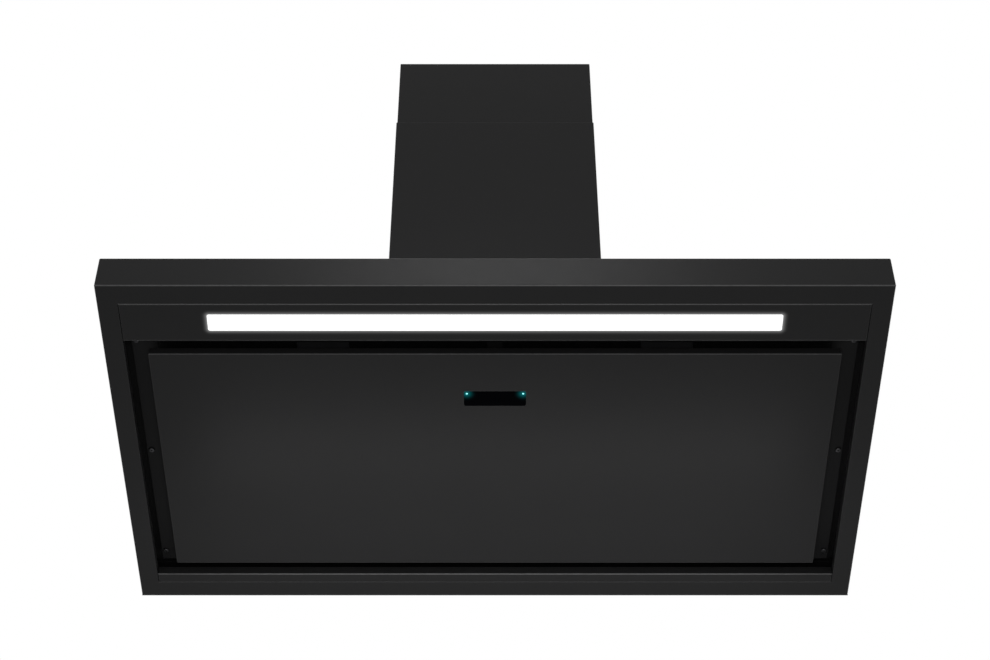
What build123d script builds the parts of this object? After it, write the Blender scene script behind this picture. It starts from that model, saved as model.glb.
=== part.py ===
from build123d import *
import math
import os

# Wall-mounted chimney range hood: a flat box canopy over the hob, with a perimeter-suction
# panel that swings down, a light bar, two grease filters, a double-inlet blower in its box,
# and a two-section telescoping chimney.
#
# Frame: X to the right, Y into the wall, Z up. The origin is the middle of the canopy's
# bottom rear edge, so the wall is the plane Y = 0 and the rim's underside is Z = 0.
# All lengths are in millimetres and all angles in degrees.

# --- Clearances -------------------------------------------------------------------------
SEAM = 0.3             # gap between flush panels, and between pieces that move apart
PIN_PLAY = 0.1         # radial play of a hinge pin
SCREW_PLAY = 0.2       # radial play of a screw in a plain hole
LENS_PLAY = 0.15       # gap round a lens or glass set into a sheet

# --- Canopy -----------------------------------------------------------------------------
WIDTH = 900.0
DEPTH = 520.0
CANOPY_HEIGHT = 48.0
SHEET = 1.0            # painted steel of the canopy, its panels and rails
BEND = 1.6             # outside radius of a folded edge
RIM_FRONT = 27.8       # width of the rim turned in under the canopy
RIM_SIDE = 23.4
RIM_REAR = 25.2
RIM_LIP = 12.0         # height of the lip turned up inside the rim
BACK_SHEET = 1.0       # galvanised steel of the back plate and the blower box
BACK_FLANGE = 12.0
BACK_HOLE_RADIUS = 3.0
BACK_HOLE_INSET = 70.0  # from each end of the wall plate

# --- Light bar --------------------------------------------------------------------------
LIGHT_PANEL_DEPTH = 56.0
LIGHT_PANEL_FLANGE = 12.0
LENS_END_GAP = 99.2    # from the rim's inner edge to the lens
LENS_WIDTH = 24.8
LENS_CORNER = 2.8
LENS_SETBACK = 15.5    # from the light panel's front edge
LENS_LEDGE = 4.0       # flange of the lens that lies on the sheet
LENS_THICKNESS = 3.0
CHANNEL_HEIGHT = 12.0
CHANNEL_WALL = 1.2
CHANNEL_PLAY = 1.0
STRIP_WIDTH = 14.0
STRIP_MARGIN = 8.0
BOARD_THICKNESS = 1.6
LED_COUNT = 36
LED_SIZE = 3.0
LED_HEIGHT = 0.8
DRIVER_LENGTH = 130.0
DRIVER_WIDTH = 34.0
DRIVER_HEIGHT = 18.0
DRIVER_EAR = 10.0
DRIVER_EAR_THICKNESS = 2.0
ELECTRICS_SETBACK = 8.0  # from the inside of the front face
ELECTRICS_END_GAP = 119.0  # from the inside of a side to the driver or the control box

# --- Control box ------------------------------------------------------------------------
CONTROL_LENGTH = 160.0
CONTROL_WIDTH = 50.0
CONTROL_HEIGHT = 25.0
CONTROL_WALL = 2.0
CONTROL_POST_RADIUS = 3.0
CONTROL_POST_LENGTH = 11.0
RELAY_COUNT = 4
RELAY_LENGTH = 18.0
RELAY_WIDTH = 10.0
RELAY_HEIGHT = 5.0

# --- Intake frame -----------------------------------------------------------------------
FRAME_LEVEL = 25.0     # height of the frame's ledge above the rim
FRAME_SIDE_GAP = 4.6   # from the rim's inner edge to the frame's outer wall
FRAME_FRONT_GAP = 4.2  # from the light panel to the frame's outer wall
FRAME_REAR_GAP = 1.6   # from the rear rail to the frame's outer wall
LEDGE_SIDE = 31.0
LEDGE_FRONT = 20.0
LEDGE_REAR = 16.0
CENTRE_BAR = 18.0
POST_RADIUS = 4.0
POST_INSET = 5.5       # from the frame's outer face to the posts' axes
POST_ROWS = 3
POST_MARGIN = 16.0     # from each end of the frame to the first and last row
SCREW_RADIUS = 1.9
SCREW_HEAD_RADIUS = 3.5
SCREW_HEAD_HEIGHT = 2.2
SCREW_GRIP = 10.0

# --- Rear rail --------------------------------------------------------------------------
RAIL_DEPTH = 15.2
RAIL_FLANGE = 12.0

# --- Suction panel ----------------------------------------------------------------------
PANEL_SIDE_GAP = 26.6   # open slot between the rim and the suction panel
PANEL_FRONT_GAP = 20.1  # open slot between the light panel and the suction panel
PANEL_REAR_GAP = 20.3   # open slot between the suction panel and the rear rail
PANEL_HEIGHT = 10.0
PANEL_LIP = 8.0
HINGE_END_GAP = 100.0  # from the panel's side edge to the middle of a hinge
HINGE_INSET = 7.3      # from the panel's rear edge to the hinge axis
HINGE_RUN_GAP = 0.5    # from the panel's top to the hinge cheeks
HINGE_PIN_RADIUS = 2.0
EAR_THICKNESS = 2.0
EAR_RADIUS = 4.0
CHEEK_THICKNESS = 1.5
CHEEK_RADIUS = 3.5
HINGE_BASE_WIDTH = 20.0
HINGE_BASE_FRONT = 8.0  # reach of the hinge's base in front of the axis
CATCH_LENGTH = 30.0
CATCH_WIDTH = 8.0
CATCH_SETBACK = 26.0   # from the panel's front edge
STRIKE_THICKNESS = 1.5

# --- Touchless sensor -------------------------------------------------------------------
GLASS_LENGTH = 73.0
GLASS_WIDTH = 24.0
GLASS_CORNER = 2.5
GLASS_SETBACK = 58.7   # from the panel's front edge
GLASS_THICKNESS = 2.5
GLASS_LEDGE = 3.5
LAMP_RADIUS = 1.15
LAMP_INSET_X = 3.5
LAMP_INSET_Y = 4.2
SENSOR_LENGTH = 96.0
SENSOR_WIDTH = 46.0
SENSOR_HEIGHT = 13.0
SENSOR_WALL = 2.0
SENSOR_BOARD_LEVEL = 6.0
SENSOR_BOARD_MARGIN = 1.0
SENSOR_POST_RADIUS = 2.0
SENSOR_POST_INSET = 6.0

# --- Grease filters ---------------------------------------------------------------------
FILTER_THICKNESS = 10.0
FILTER_SEAT = 3.0      # overlap on the side ledges and the centre bar
FILTER_REAR_SEAT = 6.0
FILTER_FRONT_GAP = 2.0  # from the front ledge to the filter
FILTER_BORDER = 14.0
FILTER_HANDLE_BORDER = 34.0
FILTER_GROOVE = 4.0
MESH_THICKNESS = 6.0
MESH_SLOT_COLUMNS = 9
MESH_SLOT_ROWS = 10
MESH_SLOT_LENGTH = 28.0
MESH_SLOT_WIDTH = 8.0
LATCH_LENGTH = 60.0
LATCH_WIDTH = 24.0
LATCH_THICKNESS = 2.4
LATCH_REACH = 7.0      # how far the tongue reaches in front of the filter
LATCH_TRAVEL = 6.0
TAB_LENGTH = 40.0
TAB_THICKNESS = 2.0
TAB_DROP = 6.0

# --- Blower box -------------------------------------------------------------------------
BOX_HEIGHT = 232.0
BOX_FLANGE = 10.0
LID_FLANGE = 8.0
BOX_SCREW_SPACING = 120.0
OPENING_MARGIN = 5.0   # from the box's feet to the opening in the roof
OPENING_SETBACK = 48.0  # from the wall to the opening's rear edge
HANG_HOLE_RADIUS = 4.25
HANG_SPACING_X = 200.0
HANG_SPACING_Z = 160.0
HANG_LEVEL = 120.0     # of the pattern's middle above the canopy's top

# --- Impeller and scroll ----------------------------------------------------------------
IMPELLER_RADIUS = 70.0
BLADE_COUNT = 36
BLADE_DEPTH = 12.0
BLADE_SHEET = 1.0
BLADE_LEAN = 7.0       # degrees by which the blade's tip runs ahead of its root
RING_DEPTH = 10.0
RING_THICKNESS = 2.0
HUB_RADIUS = 12.0
HUB_LENGTH = 18.0
SHAFT_RADIUS = 4.0
SHAFT_PLAY = 0.3
SCROLL_WALL = 1.5
SCROLL_GAP = 11.0      # from the scroll to the box's front and back
SCROLL_STEP = 14.0     # growth of the scroll's radius at each quarter turn
TONGUE_GAP = 7.0
MOUTH_RISE = 97.0      # from the impeller's axis to the mouth's flange
MOUTH_FLANGE = 8.0
MOUTH_SIDE_GAP = 0.5   # from the collar's bore to the scroll's side walls
MOUTH_END_GAP = 4.35   # from the collar's bore to the mouth's front and rear walls
INLET_LIP = 8.0
INLET_GAP = 3.5        # from an inlet's lip to the impeller

# --- Motor ------------------------------------------------------------------------------
MOTOR_RADIUS = 40.0
SHIELD_RADIUS = 38.0
SHIELD_LENGTH = 18.0
MOTOR_GAP = 1.0        # from the hub to the motor's front shield
SPIDER_THICKNESS = 2.0
SPIDER_RING_INNER = 20.0
SPIDER_RING_OUTER = 34.0
SPIDER_ARM_WIDTH = 12.0
SPIDER_ARMS = 3
BUSH_RADIUS = 5.0
BUSH_CIRCLE_RADIUS = 66.0
BUSH_LENGTH = 5.0
CAPACITOR_RADIUS = 15.0
CAPACITOR_LENGTH = 40.0
CAPACITOR_GAP = 2.0    # from the scroll's flange to the capacitor
CAPACITOR_BACK_GAP = 9.0  # from the box's back to the capacitor
CAPACITOR_LEVEL = 82.0  # of its axis above the canopy's top

# --- Outlet collar and its flaps --------------------------------------------------------
COLLAR_RADIUS = 74.5
COLLAR_WALL = 1.5
COLLAR_HEIGHT = 55.0
COLLAR_SIDE_MARGIN = 5.0  # of the collar's plate past the scroll's flange
COLLAR_END_MARGIN = 1.15
COLLAR_PLATE_THICKNESS = 2.0
COLLAR_PLATE_CORNER = 5.0
FLAP_LEVEL = 18.0      # of the flap pins above the collar's plate
FLAP_THICKNESS = 1.5
FLAP_GAP = 1.2         # between the flap's edge and the collar
FLAP_PIN_RADIUS = 1.5
FLAP_PIN_OFFSET = 5.0
KNUCKLE_RADIUS = 3.0
KNUCKLE_MARGIN = 6.0
SILL_DEPTH = 2.5
SILL_HEIGHT = 2.0
BAR_THICKNESS = 2.0
BAR_HEIGHT = 8.0

# --- Mains inlet ------------------------------------------------------------------------
GLAND_SIDE_GAP = 21.0  # from the inside of the box's right side to the axis
GLAND_SETBACK = 30.0   # from the wall to the axis
GLAND_BORE_RADIUS = 3.6
GLAND_SHANK_RADIUS = 5.9
GLAND_HEX_RADIUS = 9.0
GLAND_HEX_HEIGHT = 8.0
GLAND_DOME_RADIUS = 7.5
GLAND_DOME_HEIGHT = 10.0
GLAND_SHANK_LENGTH = 9.0
GLAND_NUT_HEIGHT = 4.0

# --- Chimney ----------------------------------------------------------------------------
CHIMNEY_SHEET = 0.8
CHIMNEY_BEND = 1.4
CHIMNEY_PLAY = 0.4     # between the two sections, on each side
LOWER_TOP = 660.0
BOX_SIDE_GAP = 13.2    # from the blower box to the inside of the chimney's sides
BOX_FRONT_GAP = 22.2   # from the blower box to the inside of the chimney's front
REAR_FLANGE_GAP = 2.0  # from the lower section's rear flanges to the blower box
LOWER_FOOT = 10.0
FOOT_SCREW_SETBACK = 50.0  # from the wall to the rear pair of screws
FOOT_SCREW_SPACING = 150.0
UPPER_TOP = 806.0
UPPER_LENGTH = 400.0
UPPER_WALL_GAP = 1.2   # from the wall to the upper section
UPPER_REAR_FLANGE = 8.0
BRACKET_SHEET = 1.5
BRACKET_HEIGHT = 30.0
BRACKET_DROP = 10.0    # from the upper section's top to the bracket
BRACKET_FLANGE_GAP = 12.8  # from the section's rear flanges to the bracket's step
BRACKET_STEP = 4.0     # forward step round the upper section's rear flange
BRACKET_ARM = 60.0
BRACKET_HOLE_RADIUS = 3.0
BRACKET_HOLE_INSET = 38.0  # from the bracket's step to its wall hole
BRACKET_SCREW_SETBACK = 35.0  # from the wall to the screws in its arms

# --- Derived places ---------------------------------------------------------------------
FRONT = -DEPTH
ROOF = CANOPY_HEIGHT - SHEET
RIM_X = WIDTH / 2 - RIM_SIDE
BACK_HOLE_X = WIDTH / 2 - BACK_HOLE_INSET
LIGHT_FRONT = FRONT + RIM_FRONT
LIGHT_REAR = LIGHT_FRONT + LIGHT_PANEL_DEPTH
LENS_LENGTH = 2 * (RIM_X - LENS_END_GAP)
LENS_Y = LIGHT_FRONT + LENS_SETBACK + LENS_WIDTH / 2
DRIVER_X = -(WIDTH / 2 - SHEET - ELECTRICS_END_GAP - DRIVER_LENGTH / 2)
CONTROL_X = WIDTH / 2 - SHEET - ELECTRICS_END_GAP - CONTROL_LENGTH / 2
RAIL_REAR = -RIM_REAR
RAIL_FRONT = RAIL_REAR - RAIL_DEPTH
PANEL_FRONT = LIGHT_REAR + PANEL_FRONT_GAP
PANEL_REAR = RAIL_FRONT - PANEL_REAR_GAP
PANEL_X = RIM_X - PANEL_SIDE_GAP
FRAME_X = RIM_X - FRAME_SIDE_GAP
FRAME_FRONT = LIGHT_REAR + FRAME_FRONT_GAP
FRAME_REAR = RAIL_FRONT - FRAME_REAR_GAP
LEDGE_TOP = FRAME_LEVEL + SHEET
INTAKE_X = FRAME_X - LEDGE_SIDE
INTAKE_FRONT = FRAME_FRONT + LEDGE_FRONT
INTAKE_REAR = FRAME_REAR - LEDGE_REAR
HINGE_X = PANEL_X - HINGE_END_GAP
HINGE_Y = PANEL_REAR - HINGE_INSET
HINGE_LEVEL = PANEL_HEIGHT + HINGE_RUN_GAP + CHEEK_RADIUS
GLASS_Y = PANEL_FRONT + GLASS_SETBACK + GLASS_WIDTH / 2
FILTER_FRONT = INTAKE_FRONT + FILTER_FRONT_GAP
FILTER_REAR = INTAKE_REAR + FILTER_REAR_SEAT
FILTER_INNER = CENTRE_BAR / 2 - FILTER_SEAT
FILTER_OUTER = INTAKE_X + FILTER_SEAT
COLLAR_BORE = COLLAR_RADIUS - COLLAR_WALL
SCROLL_WIDTH = 2 * (COLLAR_BORE + MOUTH_SIDE_GAP)
SCROLL_SIDE = SCROLL_WIDTH / 2 + SCROLL_WALL
SCROLL_FIRST_RADIUS = IMPELLER_RADIUS + TONGUE_GAP + SCROLL_STEP / 2
SCROLL_REACH = SCROLL_STEP / 2 + SCROLL_FIRST_RADIUS + 2 * SCROLL_STEP
SCROLL_BACK_REACH = SCROLL_STEP / 2 + SCROLL_FIRST_RADIUS
MOUTH_DEPTH = 2 * (COLLAR_BORE + MOUTH_END_GAP)
TONGUE_REACH = MOUTH_DEPTH - SCROLL_REACH
IMPELLER_WIDTH = SCROLL_WIDTH - 2 * (INLET_LIP + INLET_GAP)
INLET_RADIUS = IMPELLER_RADIUS - BLADE_DEPTH
MOTOR_FRONT = HUB_LENGTH / 2 + MOTOR_GAP
MOTOR_REAR = SCROLL_SIDE + BUSH_LENGTH
STATOR_LENGTH = MOTOR_REAR - MOTOR_FRONT - 2 * SHIELD_LENGTH
FLANGE_X = SCROLL_SIDE + MOUTH_FLANGE
BOX_WIDTH = 2 * (FLANGE_X + CAPACITOR_GAP + CAPACITOR_LENGTH + BACK_SHEET)
BOX_DEPTH = SCROLL_REACH + SCROLL_BACK_REACH + 2 * (SCROLL_WALL + SCROLL_GAP + BACK_SHEET)
BOX_TOP = CANOPY_HEIGHT + BOX_HEIGHT
AXIS_Y = -BOX_DEPTH / 2 + (SCROLL_REACH - SCROLL_BACK_REACH) / 2
AXIS_Z = BOX_TOP - BACK_SHEET - MOUTH_RISE
MOUTH_Y = AXIS_Y + (TONGUE_REACH - SCROLL_REACH) / 2
OPENING_X = BOX_WIDTH / 2 - BACK_SHEET - BOX_FLANGE - OPENING_MARGIN
OPENING_FRONT = -BOX_DEPTH + BACK_SHEET + BOX_FLANGE + OPENING_MARGIN
CAPACITOR_Y = -(BACK_SHEET + CAPACITOR_BACK_GAP + CAPACITOR_RADIUS)
CAPACITOR_Z = CANOPY_HEIGHT + CAPACITOR_LEVEL
COLLAR_BASE = BOX_TOP + COLLAR_PLATE_THICKNESS
FLAP_Z = COLLAR_BASE + FLAP_LEVEL
GLAND_X = BOX_WIDTH / 2 - BACK_SHEET - GLAND_SIDE_GAP
GLAND_Y = -GLAND_SETBACK
CHIMNEY_X = BOX_WIDTH / 2 + BOX_SIDE_GAP + CHIMNEY_SHEET
CHIMNEY_FRONT = -(BOX_DEPTH + BOX_FRONT_GAP + CHIMNEY_SHEET)
LOWER_REAR_FLANGE = CHIMNEY_SHEET + BOX_SIDE_GAP - REAR_FLANGE_GAP
UPPER_X = CHIMNEY_X - CHIMNEY_SHEET - CHIMNEY_PLAY
UPPER_FRONT = CHIMNEY_FRONT + CHIMNEY_SHEET + CHIMNEY_PLAY
BRACKET_X = UPPER_X - UPPER_REAR_FLANGE - BRACKET_FLANGE_GAP
BRACKET_HOLE_X = BRACKET_X - BRACKET_HOLE_INSET
SIDES = {"left": -1, "right": 1}


# --- Shared shapes ----------------------------------------------------------------------
def block(x_range, y_range, z_range):
    """A box between the lowest and highest value on each axis."""
    low = [min(pair) for pair in (x_range, y_range, z_range)]
    high = [max(pair) for pair in (x_range, y_range, z_range)]
    size = [b - a for a, b in zip(low, high)]
    middle = [(a + b) / 2 for a, b in zip(low, high)]
    return Pos(*middle) * Box(*size)


def rod(radius, start, end, place, axis="z"):
    """A cylinder from start to end along one axis, at the two other coordinates in place."""
    length = end - start
    middle = (start + end) / 2
    if axis == "x":
        return Pos(middle, *place) * Rot(0, 90, 0) * Cylinder(radius, length)
    if axis == "y":
        return Pos(place[0], middle, place[1]) * Rot(90, 0, 0) * Cylinder(radius, length)
    return Pos(*place, middle) * Cylinder(radius, length)


def tube(outer, inner, start, end, place, axis="z"):
    """A round tube along one axis."""
    return rod(outer, start, end, place, axis) - rod(inner, start, end, place, axis)


def rounded_slab(length, width, corner, z_range, place):
    """A flat slab with rounded corners, centred on place."""
    outline = RectangleRounded(length, width, corner)
    return Pos(*place, z_range[0]) * extrude(outline, z_range[1] - z_range[0])


def screw(place, seat, reach):
    """A pan-head screw: its head on the side of the seat that its shank points away from."""
    head = seat - math.copysign(SCREW_HEAD_HEIGHT, reach)
    shank = rod(SCREW_RADIUS, *sorted((seat, seat + reach)), place)
    return shank + rod(SCREW_HEAD_RADIUS, *sorted((head, seat)), place)


def screw_hole(place, z_range):
    """The plain hole that a screw passes through."""
    return rod(SCREW_RADIUS + SCREW_PLAY, *z_range, place)


def folded_tray(x_range, y_range, height):
    """A shallow sheet tray with its floor down, its folded edges rounded outside."""
    tray = block(x_range, y_range, (0, height))
    tray = fillet(tray.edges().group_by(Axis.Z)[0], BEND)
    hollow_x = (x_range[0] + SHEET, x_range[1] - SHEET)
    hollow_y = (y_range[0] + SHEET, y_range[1] - SHEET)
    return tray - block(hollow_x, hollow_y, (SHEET, height))


# --- Canopy -----------------------------------------------------------------------------
def post_places():
    """Where the screws hold the intake frame up: a row along each side."""
    x = FRAME_X - POST_INSET
    first = FRAME_FRONT + POST_MARGIN
    pitch = (FRAME_REAR - FRAME_FRONT - 2 * POST_MARGIN) / (POST_ROWS - 1)
    return [(side * x, first + row * pitch) for side in SIDES.values() for row in range(POST_ROWS)]


def box_screw_places():
    """Where the blower box is screwed to the canopy's roof."""
    x = BOX_WIDTH / 2 - BACK_SHEET - BOX_FLANGE / 2
    middle = -BOX_DEPTH / 2
    places = [(side * x, middle + end * BOX_SCREW_SPACING / 2) for side in (-1, 1) for end in (-1, 1)]
    front = -BOX_DEPTH + BACK_SHEET + BOX_FLANGE / 2
    return places + [(side * BOX_SCREW_SPACING / 2, front) for side in (-1, 1)]


def foot_screw_places():
    """Where the lower chimney's feet are screwed to the canopy's roof."""
    x = CHIMNEY_X - CHIMNEY_SHEET - LOWER_FOOT / 2
    rows = (-FOOT_SCREW_SETBACK, -FOOT_SCREW_SETBACK - FOOT_SCREW_SPACING)
    return [(side * x, y) for side in (-1, 1) for y in rows]


def canopy_shell():
    """Roof, front and sides in one folded sheet, with a rim turned in all round underneath."""
    shell = block((-WIDTH / 2, WIDTH / 2), (FRONT, -BACK_SHEET), (0, CANOPY_HEIGHT))
    outside = shell.edges() - shell.faces().sort_by(Axis.Y)[-1].edges()
    shell = fillet(outside, BEND)
    inside_x = (-WIDTH / 2 + SHEET, WIDTH / 2 - SHEET)
    shell -= block(inside_x, (FRONT + SHEET, -BACK_SHEET), (SHEET, ROOF))
    mouth_y = (FRONT + RIM_FRONT, -RIM_REAR)
    lip_y = (mouth_y[0] - SHEET, mouth_y[1] + SHEET)
    shell += block((-RIM_X - SHEET, RIM_X + SHEET), lip_y, (0, RIM_LIP))
    shell -= block((-RIM_X, RIM_X), mouth_y, (0, RIM_LIP))
    shell -= block((-OPENING_X, OPENING_X), (OPENING_FRONT, -OPENING_SETBACK), (ROOF, CANOPY_HEIGHT))
    for place in box_screw_places() + foot_screw_places():
        shell -= screw_hole(place, (ROOF, CANOPY_HEIGHT))
    return shell


def wall_plate():
    """Flat plate that closes the canopy's back and meets the wall."""
    plate = block((-WIDTH / 2, WIDTH / 2), (-BACK_SHEET, 0), (0, CANOPY_HEIGHT))
    inside_x = (-WIDTH / 2 + SHEET, WIDTH / 2 - SHEET)
    plate += block(inside_x, (-BACK_SHEET - BACK_FLANGE, -BACK_SHEET), (ROOF - BACK_SHEET, ROOF))
    for side in (-1, 1):
        place = (side * BACK_HOLE_X, CANOPY_HEIGHT / 2)
        plate -= rod(BACK_HOLE_RADIUS, -BACK_SHEET, 0, place, "y")
    return plate


def rear_rail():
    """Folded rail in front of the rear rim."""
    return folded_tray((-RIM_X + SEAM, RIM_X - SEAM), (RAIL_FRONT, RAIL_REAR), RAIL_FLANGE)


# --- Light bar --------------------------------------------------------------------------
def front_light_panel():
    """Folded cross panel behind the front rim, with a long window for the light."""
    panel = folded_tray((-RIM_X + SEAM, RIM_X - SEAM), (LIGHT_FRONT, LIGHT_REAR), LIGHT_PANEL_FLANGE)
    return panel - rounded_slab(LENS_LENGTH, LENS_WIDTH, LENS_CORNER, (0, SHEET), (0, LENS_Y))


def light_diffuser():
    """Opal lens, flush in its window, held by a flange that lies on the sheet."""
    corner = LENS_CORNER - LENS_PLAY
    window = (LENS_LENGTH - 2 * LENS_PLAY, LENS_WIDTH - 2 * LENS_PLAY)
    lens = rounded_slab(*window, corner, (0, LENS_THICKNESS), (0, LENS_Y))
    flange = (LENS_LENGTH + 2 * LENS_LEDGE, LENS_WIDTH + 2 * LENS_LEDGE)
    lens += rounded_slab(*flange, corner + LENS_LEDGE, (SHEET, LENS_THICKNESS), (0, LENS_Y))
    return lens


def channel_half():
    """Half length and half width of the light channel's inside."""
    return (LENS_LENGTH / 2 + LENS_LEDGE + CHANNEL_PLAY, LENS_WIDTH / 2 + LENS_LEDGE + CHANNEL_PLAY)


def light_channel():
    """Aluminium channel over the lens, carrying the light strip under its top."""
    x, y = channel_half()
    wall = CHANNEL_WALL
    top = SHEET + CHANNEL_HEIGHT
    outer = block((-x - wall, x + wall), (LENS_Y - y - wall, LENS_Y + y + wall), (SHEET, top))
    return outer - block((-x, x), (LENS_Y - y, LENS_Y + y), (SHEET, top - wall))


def led_strip():
    """Long circuit board with a row of light chips on its underside."""
    top = SHEET + CHANNEL_HEIGHT - CHANNEL_WALL
    under = top - BOARD_THICKNESS
    half = channel_half()[0] - STRIP_MARGIN
    strip = block((-half, half), (LENS_Y - STRIP_WIDTH / 2, LENS_Y + STRIP_WIDTH / 2), (under, top))
    pitch = 2 * half / LED_COUNT
    for index in range(LED_COUNT):
        x = -half + (index + 0.5) * pitch
        chip_x = (x - LED_SIZE / 2, x + LED_SIZE / 2)
        strip += block(chip_x, (LENS_Y - LED_SIZE / 2, LENS_Y + LED_SIZE / 2), (under - LED_HEIGHT, under))
    return strip


def led_driver():
    """Closed driver case under the roof, with an ear at each end."""
    front = FRONT + SHEET + ELECTRICS_SETBACK
    y_range = (front, front + DRIVER_WIDTH)
    half = DRIVER_LENGTH / 2
    case = block((DRIVER_X - half, DRIVER_X + half), y_range, (ROOF - DRIVER_HEIGHT, ROOF))
    case = fillet(case.edges().filter_by(Axis.Z), BEND)
    ear_x = (DRIVER_X - half - DRIVER_EAR, DRIVER_X + half + DRIVER_EAR)
    case += block(ear_x, y_range, (ROOF - DRIVER_EAR_THICKNESS, ROOF))
    for side in (-1, 1):
        place = (DRIVER_X + side * (half + DRIVER_EAR / 2), front + DRIVER_WIDTH / 2)
        case -= screw_hole(place, (ROOF - DRIVER_EAR_THICKNESS, ROOF))
    return case


# --- Control box ------------------------------------------------------------------------
def control_frame():
    """The control box's front edge and the level of its open underside."""
    return FRONT + SHEET + ELECTRICS_SETBACK, ROOF - CONTROL_HEIGHT


def control_post_places():
    """Corners at which the control board is held."""
    front = control_frame()[0]
    inset = CONTROL_WALL + CONTROL_POST_RADIUS
    x = CONTROL_LENGTH / 2 - inset
    rows = (front + inset, front + CONTROL_WIDTH - inset)
    return [(CONTROL_X + side * x, y) for side in (-1, 1) for y in rows]


def control_box():
    """Moulded box under the roof, open below, with four posts for its board."""
    front, under = control_frame()
    half = CONTROL_LENGTH / 2
    wall = CONTROL_WALL
    box = block((CONTROL_X - half, CONTROL_X + half), (front, front + CONTROL_WIDTH), (under, ROOF))
    box = fillet(box.edges().filter_by(Axis.Z), BEND)
    hollow_x = (CONTROL_X - half + wall, CONTROL_X + half - wall)
    hollow_y = (front + wall, front + CONTROL_WIDTH - wall)
    box -= block(hollow_x, hollow_y, (under, ROOF - wall))
    for place in control_post_places():
        box += rod(CONTROL_POST_RADIUS, ROOF - wall - CONTROL_POST_LENGTH, ROOF - wall, place)
    return box


def control_lid():
    """Flat lid that closes the control box from below."""
    front, under = control_frame()
    middle = (CONTROL_X, front + CONTROL_WIDTH / 2)
    return rounded_slab(CONTROL_LENGTH, CONTROL_WIDTH, BEND, (under - CONTROL_WALL, under), middle)


def control_board():
    """Circuit board on the four posts, with a row of relays below it."""
    front = control_frame()[0]
    inset = CONTROL_WALL + SEAM
    top = ROOF - CONTROL_WALL - CONTROL_POST_LENGTH
    under = top - BOARD_THICKNESS
    half = CONTROL_LENGTH / 2 - inset
    y_range = (front + inset, front + CONTROL_WIDTH - inset)
    board = block((CONTROL_X - half, CONTROL_X + half), y_range, (under, top))
    pitch = 2 * half / RELAY_COUNT
    middle = front + CONTROL_WIDTH / 2
    relay_y = (middle - RELAY_WIDTH / 2, middle + RELAY_WIDTH / 2)
    for index in range(RELAY_COUNT):
        x = CONTROL_X - half + (index + 0.5) * pitch
        relay_x = (x - RELAY_LENGTH / 2, x + RELAY_LENGTH / 2)
        board += block(relay_x, relay_y, (under - RELAY_HEIGHT, under))
    return board


# --- Intake frame -----------------------------------------------------------------------
def intake_frame():
    """Sheet frame that hangs from the roof round both filters, with a ledge they lie on."""
    outer = block((-FRAME_X, FRAME_X), (FRAME_FRONT, FRAME_REAR), (FRAME_LEVEL, ROOF))
    inner_x = (-FRAME_X + SHEET, FRAME_X - SHEET)
    frame = outer - block(inner_x, (FRAME_FRONT + SHEET, FRAME_REAR - SHEET), (LEDGE_TOP, ROOF))
    for side in (-1, 1):
        span = (side * CENTRE_BAR / 2, side * INTAKE_X)
        frame -= block(span, (INTAKE_FRONT, INTAKE_REAR), (FRAME_LEVEL, LEDGE_TOP))
    for place in post_places():
        frame -= screw_hole(place, (FRAME_LEVEL, LEDGE_TOP))
    return frame


def frame_posts():
    """Threaded posts between the ledge and the roof."""
    bore = SCREW_RADIUS + PIN_PLAY
    return [tube(POST_RADIUS, bore, LEDGE_TOP, ROOF, place) for place in post_places()]


def frame_screws():
    """Small pan-head screws that hold the ledge up to its posts."""
    return [screw(place, FRAME_LEVEL, SCREW_GRIP) for place in post_places()]


# --- Suction panel ----------------------------------------------------------------------
def suction_panel():
    """Large shallow tray with a lip turned in on top, a sensor window and two hinge ears."""
    half = PANEL_X
    panel = block((-half, half), (PANEL_FRONT, PANEL_REAR), (0, PANEL_HEIGHT))
    panel = fillet(panel.edges().group_by(Axis.Z)[0] + panel.edges().filter_by(Axis.Z), BEND)
    inside_x = (-half + SHEET, half - SHEET)
    inside_y = (PANEL_FRONT + SHEET, PANEL_REAR - SHEET)
    panel -= block(inside_x, inside_y, (SHEET, PANEL_HEIGHT - SHEET))
    lip_y = (PANEL_FRONT + PANEL_LIP, PANEL_REAR - PANEL_LIP)
    top = (PANEL_HEIGHT - SHEET, PANEL_HEIGHT)
    panel -= block((-half + PANEL_LIP, half - PANEL_LIP), lip_y, top)
    panel -= rounded_slab(GLASS_LENGTH, GLASS_WIDTH, GLASS_CORNER, (0, SHEET), (0, GLASS_Y))
    for side in (-1, 1):
        ear_x = (side * HINGE_X - EAR_THICKNESS / 2, side * HINGE_X + EAR_THICKNESS / 2)
        ear_y = (HINGE_Y - EAR_RADIUS, HINGE_Y + EAR_RADIUS)
        panel += block(ear_x, ear_y, (SHEET, HINGE_LEVEL))
        panel += rod(EAR_RADIUS, *ear_x, (HINGE_Y, HINGE_LEVEL), "x")
        panel -= rod(HINGE_PIN_RADIUS + PIN_PLAY, *ear_x, (HINGE_Y, HINGE_LEVEL), "x")
    return panel


def cheek_offsets():
    """Inner and outer face of a hinge cheek, from the ear's middle."""
    inner = EAR_THICKNESS / 2 + SEAM
    return inner, inner + CHEEK_THICKNESS


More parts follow.
